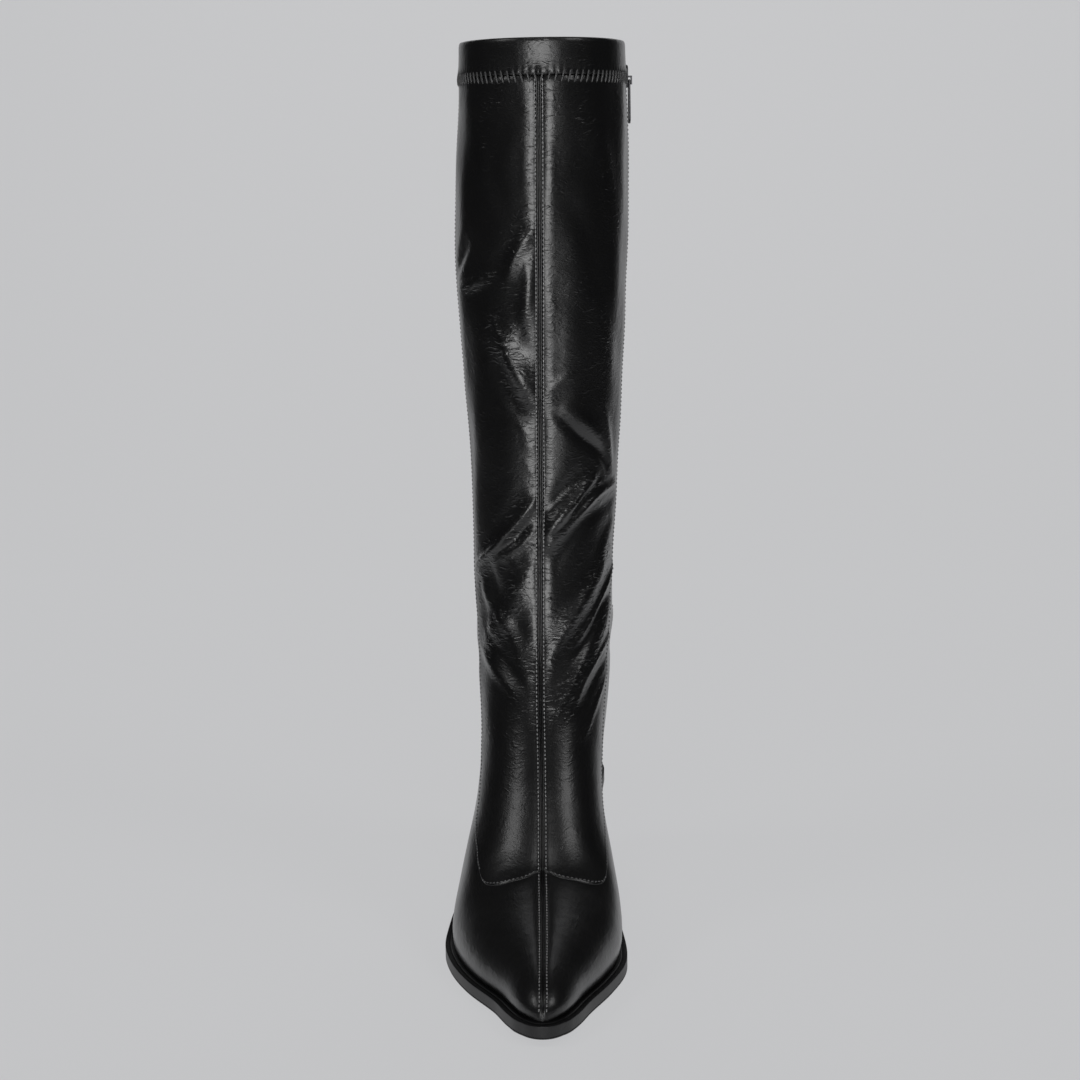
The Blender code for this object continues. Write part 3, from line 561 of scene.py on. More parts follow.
def outline(steps):
    """Closed loop of the upper's foot in plan, its outward way, the ledge and each point's station."""
    turns = np.linspace(0, math.pi, steps + 1)
    s = LAST_LENGTH * (1 - np.cos(turns)) / 2
    inner = np.stack([feather_half(s) + feather_shift(s), -s], axis=1)
    outer = np.stack([-feather_half(s) + feather_shift(s), -s], axis=1)
    loop = np.concatenate([inner, outer[-2:0:-1]])
    stations = np.concatenate([s, s[-2:0:-1]])
    along = np.roll(loop, -1, axis=0) - np.roll(loop, 1, axis=0)
    out = np.stack([-along[:, 1], along[:, 0]], axis=1)
    out /= np.linalg.norm(out, axis=1, keepdims=True)
    if out[steps // 2, 0] < 0:
        out = -out
    grow = mix(WAIST_LEDGE, SOLE_LEDGE, smooth_step(*LEDGE_BLEND, stations / LAST_LENGTH))
    return loop, out, grow, stations


# Way from the sizes above, counted from the heel's back and the foot's axis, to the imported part
SOLE_LOW, SOLE_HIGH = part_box("outsole")
EDGE, EDGE_OUT, EDGE_GROW, _ = outline(PART_STEPS)
MOVE = np.array((SOLE_LOW.x - (EDGE + EDGE_OUT * EDGE_GROW[:, None])[:, 0].min(),
                 SOLE_HIGH.y - WAIST_LEDGE, 0.0))


def weld(mesh, reach=0.000004):
    """Join points that lie on each other."""
    work = bmesh.new()
    work.from_mesh(mesh)
    bmesh.ops.remove_doubles(work, verts=work.verts, dist=reach)
    work.to_mesh(mesh)
    work.free()


def add_mesh(name, points, faces, finish, marks=None):
    """A mesh object with UV marks (distance round and height, in metres) and a wrinkle value."""
    mesh = bpy.data.meshes.new(name)
    mesh.from_pydata(np.asarray(points, float).reshape(-1, 3).tolist(), [], faces)
    if marks is not None:
        across, height, wrinkled = (np.asarray(values, float).ravel() for values in marks)
        corner = np.zeros(len(mesh.loops), np.int32)
        mesh.loops.foreach_get("vertex_index", corner)
        layer = mesh.uv_layers.new(name="leather")
        layer.data.foreach_set("uv", np.stack([across, height], axis=1)[corner].astype(np.float32).ravel())
        value = mesh.attributes.new("wrinkled", "FLOAT", "POINT")
        value.data.foreach_set("value", wrinkled.astype(np.float32))
        weld(mesh)
    mesh.materials.append(finish)
    mesh.shade_smooth()
    made = bpy.data.objects.new(name, mesh)
    bpy.context.scene.collection.objects.link(made)
    return made


def grid_faces(keep):
    """Quads of a grid, for the cells that are kept."""
    rows, columns = keep.shape
    index = np.arange((rows + 1) * (columns + 1)).reshape(rows + 1, columns + 1)
    quads = np.stack([index[:-1, :-1], index[:-1, 1:], index[1:, 1:], index[1:, :-1]], axis=-1)
    return quads[keep].tolist()


def loft(rings, closed_ends=False):
    """Points and faces through closed rings of equal count."""
    rings = np.asarray(rings, float)
    rows, count = rings.shape[:2]
    index = np.arange(rows * count).reshape(rows, count)
    beside = np.roll(index, -1, axis=1)
    faces = np.stack([index[:-1], beside[:-1], beside[1:], index[1:]], axis=-1).reshape(-1, 4).tolist()
    if closed_ends:
        faces += [index[0][::-1].tolist(), index[-1].tolist()]
    return rings.reshape(-1, 3), faces


# A stitch: place along it and thickness at each section, both as shares, and its number of sides
STITCH_SECTIONS = ((-0.5, 0.35), (-0.38, 0.9), (0.0, 1.0), (0.38, 0.9), (0.5, 0.35))
STITCH_SIDES = 6
STITCH_BEND = 1.6


def stitch_mesh(name, centres, along, normals, length, radius, finish):
    """Short rounded stitches as one mesh."""
    along = along / np.linalg.norm(along, axis=1, keepdims=True)
    across = np.cross(along, normals)
    across /= np.linalg.norm(across, axis=1, keepdims=True)
    up = np.cross(across, along)
    length = np.broadcast_to(length, len(centres))
    rings = []
    for place, size in STITCH_SECTIONS:
        sink = radius * (STITCH_BEND * abs(place)) ** 2
        middle = centres + along * (length * place)[:, None] - up * sink
        ring = []
        for k in range(STITCH_SIDES):
            turn = 2 * math.pi * k / STITCH_SIDES
            ring.append(middle + (across * math.cos(turn) + up * math.sin(turn)) * radius * size)
        rings.append(np.stack(ring, axis=1))
    points = np.stack(rings, axis=1)
    _, faces = loft(points[0], True)
    count = len(STITCH_SECTIONS) * STITCH_SIDES
    whole = [[k + count * i for k in face] for i in range(len(centres)) for face in faces]
    return add_mesh(name, points, whole, finish)


def interp_points(at, runs, points):
    """Points at distances along a path, between its own points."""
    return np.stack([np.interp(at, runs, points[:, k]) for k in range(3)], axis=1)


def row_of_stitches(place, across, pitch, lift):
    """Centres, directions and normals of stitches along a path on the leather."""
    points, normals, _ = surface(place, across, lift)
    runs = np.concatenate([[0], np.cumsum(np.linalg.norm(np.diff(points, axis=0), axis=1))])
    at = np.arange(pitch / 2, runs[-1], pitch)
    ahead = interp_points(at + pitch / 4, runs, points)
    behind = interp_points(at - pitch / 4, runs, points)
    return interp_points(at, runs, points), ahead - behind, interp_points(at, runs, normals)


def join_rows(rows):
    return [np.concatenate([row[k] for row in rows]) for k in range(3)]


# Spread of the roughness, the clear coat's own roughness, and depths of the relief in metres
UNEVEN = 0.06
COAT_ROUGHNESS = 0.25
GRAIN_DEPTH = 0.0002
WRINKLE_DEPTH = 0.00055
BEND_DEPTH = 0.0006


def look(name, colour, roughness, grain, bump, metallic=0.0, coat=0.0, wrinkles=0.0, gloss=0.5):
    """Procedural finish: fine grain, uneven roughness and, on leather, wrinkles in the creases."""
    made = bpy.data.materials.new(name)
    made.use_nodes = True
    nodes = made.node_tree.nodes

    def put(node, inputs):
        """Set a node's inputs to values, or link them to other nodes' outputs."""
        for key, value in inputs.items():
            if isinstance(value, bpy.types.NodeSocket):
                made.node_tree.links.new(value, node.inputs[key])
            else:
                node.inputs[key].default_value = value
        return node

    def noise(scale, detail, vector):
        return put(nodes.new("ShaderNodeTexNoise"), {"Scale": scale, "Detail": detail, "Vector": vector})

    def relief(strength, distance, height, under):
        node = nodes.new("ShaderNodeBump")
        return put(node, {"Strength": strength, "Distance": distance, "Height": height, **under}).outputs[0]

    place = nodes.new("ShaderNodeTexCoord").outputs
    cloud = noise(45.0, 4.0, place["Object"]).outputs["Fac"]
    patchy = put(nodes.new("ShaderNodeMapRange"),
                 {"To Min": roughness - UNEVEN, "To Max": roughness + UNEVEN, "Value": cloud})
    tone = nodes.new("ShaderNodeMix")
    tone.data_type = "RGBA"
    put(tone, {0: cloud, 6: (*[c * 0.75 for c in colour], 1), 7: (*[c * 1.25 for c in colour], 1)})
    cells = put(nodes.new("ShaderNodeTexVoronoi"), {"Scale": grain, "Vector": place["Object"]})
    normal = relief(bump, GRAIN_DEPTH, cells.outputs["Distance"], {})
    if wrinkles:
        mask = nodes.new("ShaderNodeAttribute")
        mask.attribute_name = "wrinkled"
        stretch = put(nodes.new("ShaderNodeMapping"), {"Scale": (0.45, 1.0, 1.0), "Vector": place["UV"]})
        ridged = noise(520.0, 3.0, stretch.outputs["Vector"])
        ridged.noise_type = "RIDGED_MULTIFRACTAL"
        ridged.inputs["Distortion"].default_value = 0.8
        amount = nodes.new("ShaderNodeMath")
        amount.operation = "MULTIPLY"
        put(amount, {0: ridged.outputs["Fac"], 1: mask.outputs["Fac"]})
        normal = relief(wrinkles, WRINKLE_DEPTH, amount.outputs[0], {"Normal": normal})
        bend = noise(140.0, 3.0, place["Object"]).outputs["Fac"]
        normal = relief(0.35, BEND_DEPTH, bend, {"Normal": normal})
    put(nodes["Principled BSDF"], {
        "Base Color": tone.outputs[2], "Metallic": metallic, "Roughness": patchy.outputs["Result"],
        "Specular IOR Level": gloss, "Coat Weight": coat, "Coat Roughness": COAT_ROUGHNESS,
        "Normal": normal, "Coat Normal": normal})
    return made


LEATHER = look("black_leather", (0.0036, 0.0036, 0.0038), 0.35, 1500.0, 0.14, coat=0.50, wrinkles=1.0)
BAND_LEATHER = look("band_leather", (0.0036, 0.0036, 0.0038), 0.36, 1500.0, 0.14, coat=0.42, wrinkles=0.7)
# Front seam thread: its pale grey base colour is a painted highlight, standing in for the glints on the
# waxed thread
GLINT_THREAD = look("thread_painted_glint", (0.300, 0.300, 0.303), 0.30, 3000.0, 0.3)
DULL_THREAD = look("dull_thread", (0.110, 0.110, 0.112), 0.36, 3000.0, 0.3)
WHIP_THREAD = look("black_thread", (0.060, 0.060, 0.061), 0.34, 3000.0, 0.3)
LINING = look("lining_textile", (0.020, 0.019, 0.018), 0.85, 1800.0, 0.6)
SOLE_RUBBER = look("sole_rubber", (0.013, 0.013, 0.0135), 0.46, 1100.0, 0.22)
# Welt finish: rough and low in gloss, and darker than the sole rubber, the darkness a painted shade on the
# ledge under the upper
WELT_SHADE_LOOK = look("welt_painted_shade", (0.006, 0.006, 0.0065), 0.62, 1100.0, 0.30, gloss=0.12)
HEEL_COVER = look("heel_cover", (0.010, 0.010, 0.011), 0.36, 1500.0, 0.10, coat=0.15)
LIFT_RUBBER = look("lift_rubber", (0.020, 0.020, 0.020), 0.62, 900.0, 0.4)
INSOLE_LOOK = look("insole_lining", (0.035, 0.033, 0.031), 0.75, 1300.0, 0.4)
TAPE_LOOK = look("zip_fabric", (0.010, 0.010, 0.011), 0.85, 2200.0, 0.8)
TEETH_LOOK = look("zip_teeth", (0.014, 0.014, 0.015), 0.38, 2000.0, 0.15)
METAL = look("zip_metal", (0.045, 0.045, 0.048), 0.34, 1200.0, 0.06, metallic=0.9)


def sheet_mesh(name, place, across, lift, keep, finish):
    """A sheet on the leather's face, for the cells that are kept, with its marks."""
    points, _, wrinkled = surface(place, across, lift)
    return add_mesh(name, points, grid_faces(keep), finish, (across, ring_height(place), wrinkled))


# Upper: one sheet of leather round foot and shaft, with the zip's slot; open under the front panels
NEAR = np.array((0.0, 0.3, 0.6, 0.95, 1.3, 1.6, 1.95, 2.3, 2.8)) * MM
# Rings between which the creases lie, with twice as many rows
BUSY_LOW = 7.6
BUSY_HIGH = 15.0


def ring_rows(count, low, high):
    """Ring places spaced by the length of leather between them, closer where the creases are."""
    fine = np.linspace(low, high, 800)
    front, front_z, back, back_z = ring_ends(fine)
    gaps = np.hypot(np.diff(front), np.diff(front_z)) + np.hypot(np.diff(back), np.diff(back_z))
    middle = (fine[1:] + fine[:-1]) / 2
    busy = smooth_step(BUSY_LOW - 0.4, BUSY_LOW, middle) * smooth_step(BUSY_HIGH + 0.4, BUSY_HIGH, middle)
    runs = np.concatenate([[0], np.cumsum(gaps * (1 + busy))])
    return np.interp(np.linspace(0, runs[-1], count), runs, fine)


def shell_columns(place, side, front_count, back_count):
    """Distances from the front seam of one side's columns, with two at the zip's place."""
    front_edge = run_at(place, side, ZIP_PLACE + ZIP_SLOT / 2)[:, None]
    back_edge = run_at(place, side, ZIP_PLACE - ZIP_SLOT / 2)[:, None]
    end = girth(place, side)[:, None]
    ahead = mix(NEAR[-1], front_edge, np.linspace(0, 1, front_count + 1)[None, 1:])
    after = mix(back_edge, end, np.linspace(0, 1, back_count + 1)[None, :] ** 0.8)
    middle = (front_edge + back_edge) / 2
    near = np.broadcast_to(NEAR, (len(place), len(NEAR)))
    return np.concatenate([near, ahead, front_edge, middle, middle, back_edge, after], axis=1)


def shell(rows, front_count, back_count, depth, face_lift):
    """Places, distances, lifts and kept cells of the whole wall; depth is the slot edge's, in mm."""
    inner = shell_columns(rows, 1, front_count, back_count)
    outer = shell_columns(rows, -1, front_count, back_count)
    across = np.concatenate([-outer[:, :0:-1], inner], axis=1)
    place = np.broadcast_to(rows[:, None], across.shape)
    lift = np.full(across.shape, float(face_lift))
    start = outer.shape[1] - 1
    first = start + len(NEAR) + front_count
    above = spot(rows, run_at(rows, 1, ZIP_PLACE))[:, 2] > ZIP_FOOT
    front_edge = across[:, first - 1].copy()
    back_edge = across[:, first + 3].copy()
    across[above, first + 1] = front_edge[above]
    across[above, first + 2] = back_edge[above]
    lift[above, first + 1] = face_lift + depth
    lift[above, first + 2] = face_lift + depth
    keep = np.ones((len(rows) - 1, across.shape[1] - 1), bool)
    cut = above[:-1] & above[1:]
    keep[cut, first + 1] = False
    return place, across, lift, keep


def panel_side(place, side):
    """Distance from the front seam to the panel's side edge."""
    column = SIDE_SEAM[:, 2] if side > 0 else SIDE_SEAM[:, 1]
    return run_at(place, side, np.interp(place, SIDE_SEAM[:, 0], column))


def panel_foot(share):
    """Ring place of the panel's lower edge at a share of the way from the seam to its side."""
    share = np.abs(share)
    corner = np.clip((share - 0.90) / 0.10, 0, 1)
    return (mix(PANEL_CENTRE_PLACE, PANEL_CORNER_PLACE, 1 - (1 - share) ** 1.45)
            + 0.25 * (1 - np.sqrt(np.maximum(1 - corner ** 2, 0))))


TOP_PLACE = place_at(SEAM_TOP - GAP / 2)
rows = ring_rows(230, 0.0, TOP_PLACE)
place, across, lift, keep = shell(rows, 60, 24, -WALL / MM, 0.0)
limit = np.where(across > 0, panel_side(place, 1), panel_side(place, -1))
share = np.clip(np.abs(across) / limit, 0, 1)
under = (np.abs(across) < limit - PANEL_OVERLAP) & (place > panel_foot(share) + PANEL_FOOT_OVERLAP)
keep &= ~(under[:-1, :-1] & under[1:, 1:] & under[1:, :-1] & under[:-1, 1:])
upper = sheet_mesh("upper_leather", place, across, lift, keep, LEATHER)

# Front panels: the raised layer from the vamp to the band
rows = ring_rows(330, PANEL_CORNER_PLACE, TOP_PLACE) - PANEL_CORNER_PLACE
rows = np.concatenate([[0, 0, 0.0006], rows[1:] / (TOP_PLACE - PANEL_CORNER_PLACE)])
# Rounding of the panels' edge: distance from the edge, and drop in mm
inset = np.array((0.0, 0.0, 0.18, 0.5)) * MM
drop = np.array((-PANEL_LIFT - 0.3, -0.22, -0.05, 0.0))
edge_count = len(inset)
sides = []
for side in (-1, 1):
    shares = np.linspace(0, 1, 62)[1:-1] ** 0.9
    near = NEAR / PANEL_HALF
    nominal = np.concatenate([near, mix(near[-1], 1.0, shares), np.ones(edge_count)])
    foot = panel_foot(nominal)[None, :]
    place = foot + (TOP_PLACE - foot) * rows[:, None]
    edge = panel_side(place, side)
    across = np.concatenate([np.broadcast_to(NEAR, (len(rows), len(NEAR))),
                             mix(NEAR[-1], edge[:, len(NEAR):-edge_count] - inset[-1], shares[None, :]),
                             edge[:, -edge_count:] - inset[::-1]], axis=1)
    sides.append((place, across * side))
place = np.concatenate([sides[0][0][:, :0:-1], sides[1][0]], axis=1)
across = np.concatenate([sides[0][1][:, :0:-1], sides[1][1]], axis=1)
lift = np.full(place.shape, PANEL_LIFT)
for k in range(edge_count):
    lift[:, k] += drop[k]
    lift[:, -1 - k] += drop[k]
for k in range(3):
    lift[k] = np.minimum(lift[k], PANEL_LIFT + drop[k])
keep = np.ones((place.shape[0] - 1, place.shape[1] - 1), bool)
panels = sheet_mesh("front_panels", place, across, lift, keep, LEATHER)

# Lining: the inner face of the wall
rows = ring_rows(90, 0.25, place_at(SEAM_TOP + 0.004))
place, across, lift, keep = shell(rows, 26, 12, 0.0, -WALL / MM)
lining = sheet_mesh("lining", place, across, lift, keep, LINING)

# Top band: a strip turned over the collar's edge, as height and rise in mm
BAND_COLUMNS = 90
BAND_PROFILE = (
    (462.7, -1.0), (462.8, -0.1), (463.3, 0.75), (464.4, 1.05), (466.0, 0.95), (468.5, 0.70),
    (472.0, 0.62), (476.0, 0.60), (479.5, 0.60), (481.0, 0.45), (481.8, 0.0), (482.0, -0.8),
    (481.7, -1.5), (480.8, -1.9), (478.0, -2.0), (472.0, -2.0), (465.0, -2.0),
)
heights = np.array([height for height, _ in BAND_PROFILE]) * MM
rows = np.minimum(np.array([place_at(height) for height in heights]), LAST_RING)
place, across, lift, keep = shell(rows, BAND_COLUMNS, 40, 0.0, 0.0)
lift = lift + np.array([rise for _, rise in BAND_PROFILE])[:, None]
first = (across.shape[1] - 1) // 2 + len(NEAR) + BAND_COLUMNS
keep[:, first:first + 3] = False
# The stitches pucker the band's outer face at its foot, and the front seam crosses under it
outer_face = np.arange(len(heights)) < 9
pucker = hill(heights[:, None] / MM, 463.5, 2.6) * outer_face[:, None]
lift = lift + pucker * 0.30 * np.cos(2 * math.pi * across / MM / WHIP_PITCH)
lift = lift + pucker * 0.9 * hill(across / MM, 0, 3.2)
_, wrinkled = surface_lift(np.full(place.shape, place_at(SEAM_TOP - 0.03)), across)
bare = spot(place, across) + MOVE
normals = normals_at(np.minimum(place, LAST_RING - 0.05), across)
band = add_mesh("top_band_leather", bare + normals * (lift * MM)[..., None], grid_faces(keep), BAND_LEATHER,
                (across, np.broadcast_to(heights[:, None], across.shape), wrinkled))

# Stitches
STITCH_PITCH = 2.3 * MM
STITCH = 1.45 * MM
THREAD_RADIUS = 0.36 * MM
FRONT_STITCH_PLACE = 1.95 * MM
SIDE_STITCH_INSET = 1.5 * MM
ZIP_STITCH_INSET = 2.2 * MM
STITCH_TOP = TOP_PLACE - 0.05
path = np.linspace(0.9, STITCH_TOP, 900)
rows = []
for side in (-1, 1):
    on_panel = PANEL_LIFT * smooth_step(PANEL_CENTRE_PLACE - 0.03, PANEL_CENTRE_PLACE + 0.03, path)
    rows.append(row_of_stitches(path, side * FRONT_STITCH_PLACE, STITCH_PITCH, on_panel + 0.16))
# The front seam's stitches take the pale thread, whose colour paints their glints
front_stitches = stitch_mesh("front_seam_stitches", *join_rows(rows), STITCH, THREAD_RADIUS, GLINT_THREAD)
rows = []
for side in (-1, 1):
    path = np.linspace(PANEL_CORNER_PLACE + 0.45, STITCH_TOP, 700)
    across = side * (panel_side(path, side) - SIDE_STITCH_INSET)
    rows.append(row_of_stitches(path, across, STITCH_PITCH, PANEL_LIFT + 0.06))
    shares = np.linspace(0.06, 0.975, 160)
    foot = panel_foot(shares) + 0.07
    across = side * shares * panel_side(foot, side)
    rows.append(row_of_stitches(foot, across, STITCH_PITCH, PANEL_LIFT + 0.06))
panel_stitches = stitch_mesh("panel_stitches", *join_rows(rows), STITCH, THREAD_RADIUS, DULL_THREAD)
rows = []
path = np.linspace(8.2, STITCH_TOP, 600)
for way in (-1, 1):
    reach = way * (ZIP_SLOT / 2 + ZIP_STITCH_INSET)
    rows.append(row_of_stitches(path, run_at(path, 1, ZIP_PLACE + reach), STITCH_PITCH, 0.06))
centres, along, facing = join_rows(rows)
high = centres[:, 2] > ZIP_FOOT - 0.003
zip_stitches = stitch_mesh("zip_stitches", centres[high], along[high], facing[high], STITCH, THREAD_RADIUS,
                           DULL_THREAD)

# Whip stitches over the seam of the band, clear of the zip, leaning a little
WHIP_RADIUS = 0.60 * MM
WHIP_LEAN = 0.9 * MM
WHIP_FALL = 3.6 * MM
WHIP_CLIMB = 3.2 * MM
WHIP_PROUD = 0.95 * MM
seam_place = place_at(SEAM_TOP)
rows = []
for side in (1, -1):
    at = np.arange(WHIP_PITCH * 0.5, girth(seam_place, side) / MM - 1, WHIP_PITCH) * MM
    if side > 0:
        away = np.abs(at - run_at(seam_place, 1, ZIP_PLACE))
        at = at[away > ZIP_SLOT / 2 + 1.5 * MM]
    low = spot(place_at(SEAM_TOP - WHIP_FALL), side * (at - WHIP_LEAN))
    high = spot(place_at(SEAM_TOP + WHIP_CLIMB), side * (at + WHIP_LEAN))
    facing = normals_at(seam_place, side * at)
    rows.append(((low + high) / 2 + facing * WHIP_PROUD + MOVE, high - low, facing))
centres, along, facing = join_rows(rows)
whip = stitch_mesh("whip_stitches", centres, along, facing, np.linalg.norm(along, axis=1), WHIP_RADIUS,
                   WHIP_THREAD)

# Outsole: edge profile as share of the ledge and drop in mm, then the tread's sheet
SOLE_PROFILE = (
    (-1.2, 0.32), (0.0, 0.32), (0.34, 0.34), (0.42, 0.72), (0.50, 0.34), (0.60, 0.30), (0.86, 0.34),
    (0.95, 0.46), (1.0, 0.85), (1.0, 1.6), (1.0, 4.0), (1.0, 6.35), (0.94, 6.50), (0.94, 6.68), (1.0, 6.80),
    (1.0, 7.2), (0.95, 7.45), (0.86, 7.5),
)
# Rows of the profile that make the groove and top of the welt, in a rough finish whose darker colour is
# painted shade
WELT_SHADE_ROWS = (0, 1, 4, 5, 6, 7)
SOLE_STEPS = 150
loop, out, grow, stations = outline(SOLE_STEPS)
rings = []
for share, fall in SOLE_PROFILE:
    plan = loop + out * (grow * share)[:, None]
    rings.append(np.column_stack([plan, sole_top(stations) - fall * MM]) + MOVE)
points, faces = loft(rings)
side_count = SOLE_STEPS + 1
inner = rings[-1][:side_count]
outer = np.concatenate([rings[-1][:1], rings[-1][side_count:][::-1], rings[-1][side_count - 1:side_count]])
base = len(points)
widths = np.linspace(0, 1, 13)
tread = inner[:, None, :] + (outer - inner)[:, None, :] * widths[None, :, None]
sheet = grid_faces(np.ones((side_count - 1, len(widths) - 1), bool))
points = np.concatenate([points, tread.reshape(-1, 3)])
faces += [[k + base for k in face] for face in sheet]
sole = add_mesh("outsole_rubber", points, faces, SOLE_RUBBER)
# The welt rows take the darker finish, painted shade on the ledge
sole.data.materials.append(WELT_SHADE_LOOK)
welt_shade_index = np.zeros(len(sole.data.polygons), np.int32)
for row in WELT_SHADE_ROWS:
    welt_shade_index[row * len(loop):(row + 1) * len(loop)] = 1
sole.data.polygons.foreach_set("material_index", welt_shade_index)
weld(sole.data, 0.00002)
sole.data.set_sharp_from_angle(angle=math.radians(55))


# Heel block and top lift: points of the breast and of the whole ring, and how often its corners are eased
BREAST_POINTS = 24
HEEL_POINTS = 220
HEEL_EASING = 3


def heel_loop(inset):
    """The sole's round back closed by a straight breast with soft corners, drawn in by the inset."""
    ledge = loop + out * grow[:, None]
    order = np.roll(np.arange(len(ledge)), len(ledge) // 2)
    ring = ledge[order[stations[order] < HEEL_BREAST + 0.004]]
    ring = ring[-ring[:, 1] < HEEL_BREAST]
    breast = np.linspace(ring[-1], ring[0], BREAST_POINTS)[1:-1]
    closed = np.concatenate([ring, breast, ring[:1]])
    runs = np.concatenate([[0], np.cumsum(np.linalg.norm(np.diff(closed, axis=0), axis=1))])
    at = np.linspace(0, runs[-1], HEEL_POINTS + 1)[:-1]
    ring = np.stack([np.interp(at, runs, closed[:, k]) for k in (0, 1)], axis=1)
    for _ in range(HEEL_EASING):
        ring = (np.roll(ring, 1, axis=0) + ring * 2 + np.roll(ring, -1, axis=0)) / 4
    centre = np.array((0.0, -HEEL_BREAST / 2))
    return centre + (ring - centre) * (1 - inset / (HEEL_SEAT_WIDTH / 2))


def heel_rings(levels, low):
    """Rings of the heel block at shares of its height, from the lift up to the sole."""
    rings = []
    for share in levels:
        ring = heel_loop(HEEL_INSET + HEEL_TAPER * (1 - share) ** 0.7 + soft_edge(share))
        top = sole_top(-ring[:, 1]) - SOLE_THICK - GAP
        rings.append(np.column_stack([ring, mix(low, top, share)]) + MOVE)
    return rings


def soft_edge(share):
    """Inset that rounds the block's lower and upper edge."""
    return 0.0005 * (1 - min(min(share, 1 - share) / 0.012, 1.0)) ** 2


levels = [0.0, 0.004, 0.012, 0.05, 0.15, 0.3, 0.45, 0.6, 0.75, 0.9, 0.988, 0.996, 1.0]
points, faces = loft(heel_rings(levels, LIFT_THICK + GAP), True)
heel = add_mesh("heel_block", points, faces, HEEL_COVER)
rings = []
for height, inset in ((0.0, 0.0006), (0.0004, 0.0002), (0.001, 0.0), (0.0053, 0.0), (LIFT_THICK, 0.0004)):
    ring = heel_loop(HEEL_INSET + HEEL_TAPER + inset)
    rings.append(np.column_stack([ring, np.full(len(ring), height)]) + MOVE)
points, faces = loft(rings, True)
heel_lift = add_mesh("heel_tread", points, faces, LIFT_RUBBER)
for piece in (heel, heel_lift):
    piece.data.set_sharp_from_angle(angle=math.radians(60))

# Zip: two rows of teeth that meet in the slot
TOOTH_PITCH = 1.35 * MM
TOOTH_LENGTH = 2.7 * MM
TOOTH_RADIUS = 0.52 * MM
TOOTH_PLACE = 1.15 * MM
path = np.linspace(7.5, LAST_RING, 900)
line = spot(path, run_at(path, 1, ZIP_PLACE))
heights = np.arange(ZIP_FOOT + 0.001, SLIDER_TOP - 0.0005, TOOTH_PITCH)
rows = []
for way in (-1, 1):
    at = heights + (TOOTH_PITCH / 2 if way > 0 else 0)
    x = np.interp(at, line[:, 2], line[:, 0])
    middle = np.column_stack([x, np.full(at.shape, -ZIP_PLACE + way * TOOTH_PLACE), at]) + MOVE
    rows.append((middle, *(np.tile(axis, (len(at), 1)) for axis in ((0.0, 1.0, 0.0), (1.0, 0.0, 0.0)))))
teeth = stitch_mesh("zip_teeth_rows", *join_rows(rows), TOOTH_LENGTH, TOOTH_RADIUS, TEETH_LOOK)

# What stands for which solid, and which body each piece rides on
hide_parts("upper")
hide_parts("top_band")
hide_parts("outsole")
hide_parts("zip_chain")
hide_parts("heel")
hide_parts("heel_top_lift")
for piece in (upper, panels, lining, band, front_stitches, panel_stitches, zip_stitches, whip, sole, teeth,
              heel, heel_lift):
    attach(piece, "boot")

FINISH = {"heel": HEEL_COVER, "heel_top_lift": LIFT_RUBBER, "insole": INSOLE_LOOK, "zip_tape": TAPE_LOOK,
          "zip_slider": METAL, "zip_pull": METAL, "upper": LEATHER, "top_band": BAND_LEATHER,
          "outsole": SOLE_RUBBER, "zip_chain": TEETH_LOOK}
for name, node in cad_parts.items():
    node.data.materials.clear()
    node.data.materials.append(FINISH[name])
# Soft edges on the small metal parts
for name in ("zip_slider", "zip_pull"):
    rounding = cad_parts[name].modifiers.new("rounding", "BEVEL")
    rounding.width = 0.00018
    rounding.segments = 2
    rounding.limit_method = "ANGLE"
    rounding.angle_limit = math.radians(50)


# Studio
def stage_look(name, glow, albedo):
    """Pale paper that is evenly bright, with a share that takes shadows."""
    made = bpy.data.materials.new(name)
    made.use_nodes = True
    shader = made.node_tree.nodes["Principled BSDF"]
    shader.inputs["Base Color"].default_value = (*albedo, 1)
    shader.inputs["Roughness"].default_value = 0.9
    shader.inputs["Specular IOR Level"].default_value = 0.1
    shader.inputs["Emission Color"].default_value = (*glow, 1)
    level = made.node_tree.nodes.new("ShaderNodeAttribute")
    level.attribute_name = "bright"
    made.node_tree.links.new(level.outputs["Fac"], shader.inputs["Emission Strength"])
    return made


PAPER = stage_look("paper_sweep", (0.500, 0.503, 0.512), (0.16, 0.16, 0.163))
# Paper sweep: a floor, a bend and a wall, in metres
FLOOR_START = -1.2
FLOOR_END = 1.0
BEND_RADIUS = 0.8
BEND_STEPS = 12
WALL_TOP = 3.2
PAPER_HALF = 2.4
PAPER_COLUMNS = 60
profile = [(y, 0.0) for y in np.linspace(FLOOR_START, FLOOR_END, 56)]
for k in range(1, BEND_STEPS + 1):
    turn = math.pi / 2 * k / BEND_STEPS
    profile.append((FLOOR_END + BEND_RADIUS * math.sin(turn), BEND_RADIUS * (1 - math.cos(turn))))
profile += [(FLOOR_END + BEND_RADIUS, z) for z in np.linspace(1.0, WALL_TOP, 8)]
profile = np.array(profile)
across = np.linspace(-PAPER_HALF, PAPER_HALF, PAPER_COLUMNS + 1)
x, y = np.meshgrid(across, profile[:, 0])
z = np.broadcast_to(profile[:, 1:], x.shape)
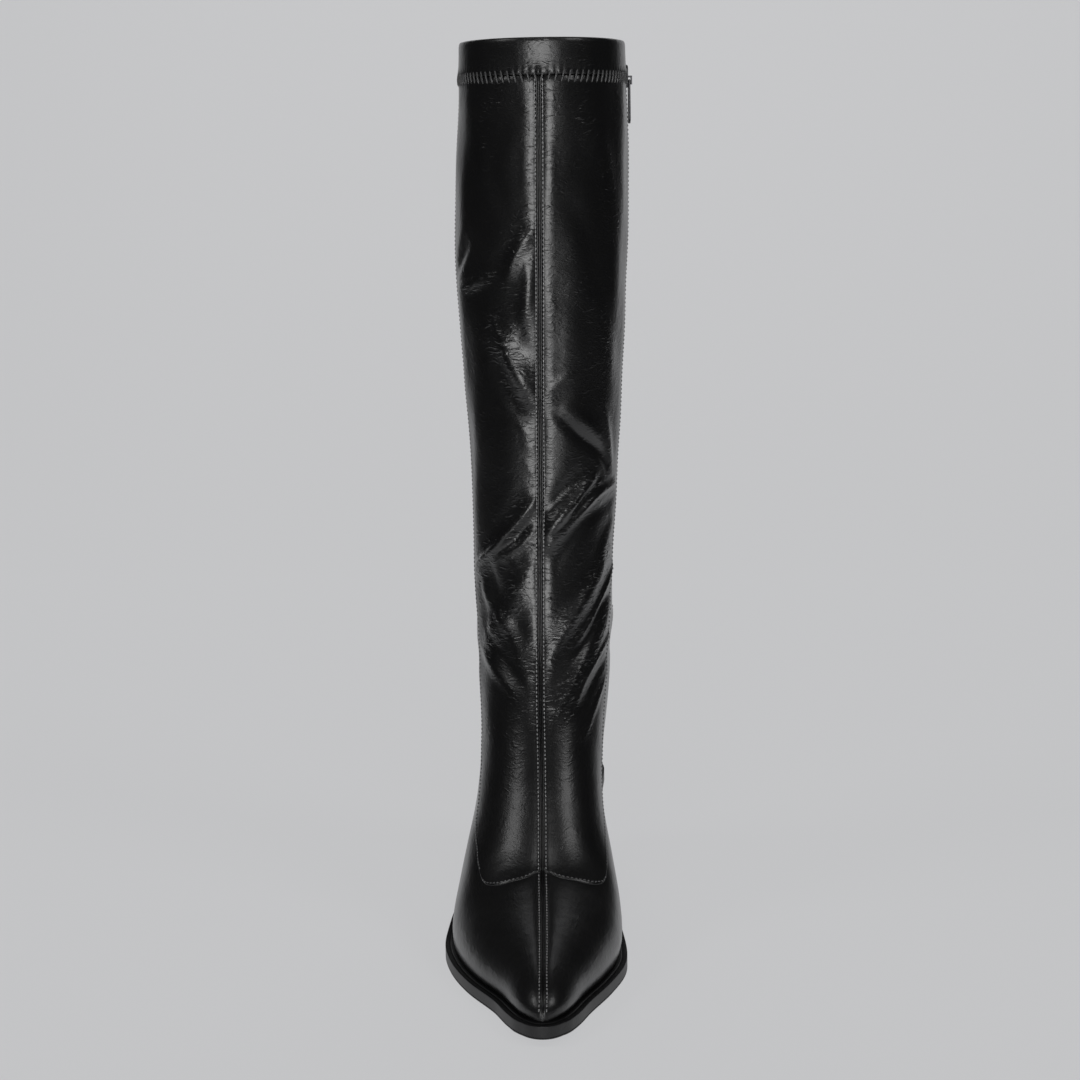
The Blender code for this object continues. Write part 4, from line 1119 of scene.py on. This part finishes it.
# The paper is bright where the camera sees it, and dark in front of the toe and beside the boot, where
# only the leather would see it. reach: how far the bright part goes to the outer and to the inner side
REACH_AT = (-0.3, 0.0, 0.5, 1.0, 1.8)
OUTER_REACH = (0.34, 0.38, 0.53, 0.72, 1.00)
INNER_REACH = (0.36, 0.40, 0.50, 0.66, 0.85)
REACH_FADE = 0.15
reach = np.where(x < 0, np.interp(y, REACH_AT, OUTER_REACH), np.interp(y, REACH_AT, INNER_REACH))
bright = smooth_step(-0.42, -0.24, y) * smooth_step(reach + REACH_FADE, reach, np.abs(x))
keep = np.ones((len(profile) - 1, PAPER_COLUMNS), bool)
sweep = add_mesh("paper", np.stack([x, y, z], axis=-1), grid_faces(keep), PAPER)
level = sweep.data.attributes.new("bright", "FLOAT", "POINT")
level.data.foreach_set("value", bright.astype(np.float32).ravel())
sweep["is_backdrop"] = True

world = bpy.data.worlds.new("dark_room")
world.use_nodes = True
world.node_tree.nodes["Background"].inputs["Color"].default_value = (0.022, 0.022, 0.023, 1)
world.node_tree.nodes["Background"].inputs["Strength"].default_value = 1.0
bpy.context.scene.world = world


def area_light(name, place, aim, width, height, power, spread):
    data = bpy.data.lights.new(name, "AREA")
    data.spread = math.radians(spread)
    data.shape = "RECTANGLE"
    data.size = width
    data.size_y = height
    data.energy = power
    lamp = bpy.data.objects.new(name, data)
    lamp.location = place
    lamp.rotation_euler = (Vector(aim) - Vector(place)).to_track_quat("-Z", "Y").to_euler()
    bpy.context.scene.collection.objects.link(lamp)


# Lights: name, place, aim, width and height in metres, power in watts, spread in degrees
LIGHTS = (
    ("overhead", (0.0, -0.7, 2.3), (0.0, -0.05, 0.1), 0.9, 0.6, 3.0, 180.0),
    ("front_soft", (0.02, -1.75, 0.75), (0.02, 0.0, 0.75), 1.15, 2.0, 3.7, 52.0),
    ("outer_high", (-1.5, -0.6, 1.7), (0.0, 0.0, 0.25), 0.7, 0.7, 4.8, 180.0),
    ("inner_high", (1.4, -0.7, 1.7), (0.0, 0.0, 0.25), 0.7, 0.7, 5.0, 180.0),
    ("front_low", (0.01, -0.98, 0.01), (0.01, -0.98, 1.0), 0.8, 1.0, 4.0, 180.0),
)
for light in LIGHTS:
    area_light(*light)

# Camera: the photo's place and angle, turned so that the one boot fills the frame. side, back and
# height: where it stands from the foot's axis, the heel's back and the floor, in metres
CAMERA_SIDE = 0.0672
CAMERA_BACK = 1.235
CAMERA_HEIGHT = 0.426
YAW = math.radians(3.3)
PITCH = math.radians(10.6)
ROLL = math.radians(0.8)
camera_data = bpy.data.cameras.new("camera")
camera_data.lens = 70.0
camera_data.sensor_width = 36.0
camera_data.clip_start = 0.05
camera = bpy.data.objects.new("camera", camera_data)
bpy.context.scene.collection.objects.link(camera)
camera.location = (CAMERA_SIDE + MOVE[0], MOVE[1] - CAMERA_BACK, CAMERA_HEIGHT)
camera.rotation_euler = (math.pi / 2 - PITCH, ROLL, YAW)
bpy.context.scene.camera = camera
bpy.context.scene.view_settings.view_transform = "Standard"

low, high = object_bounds()
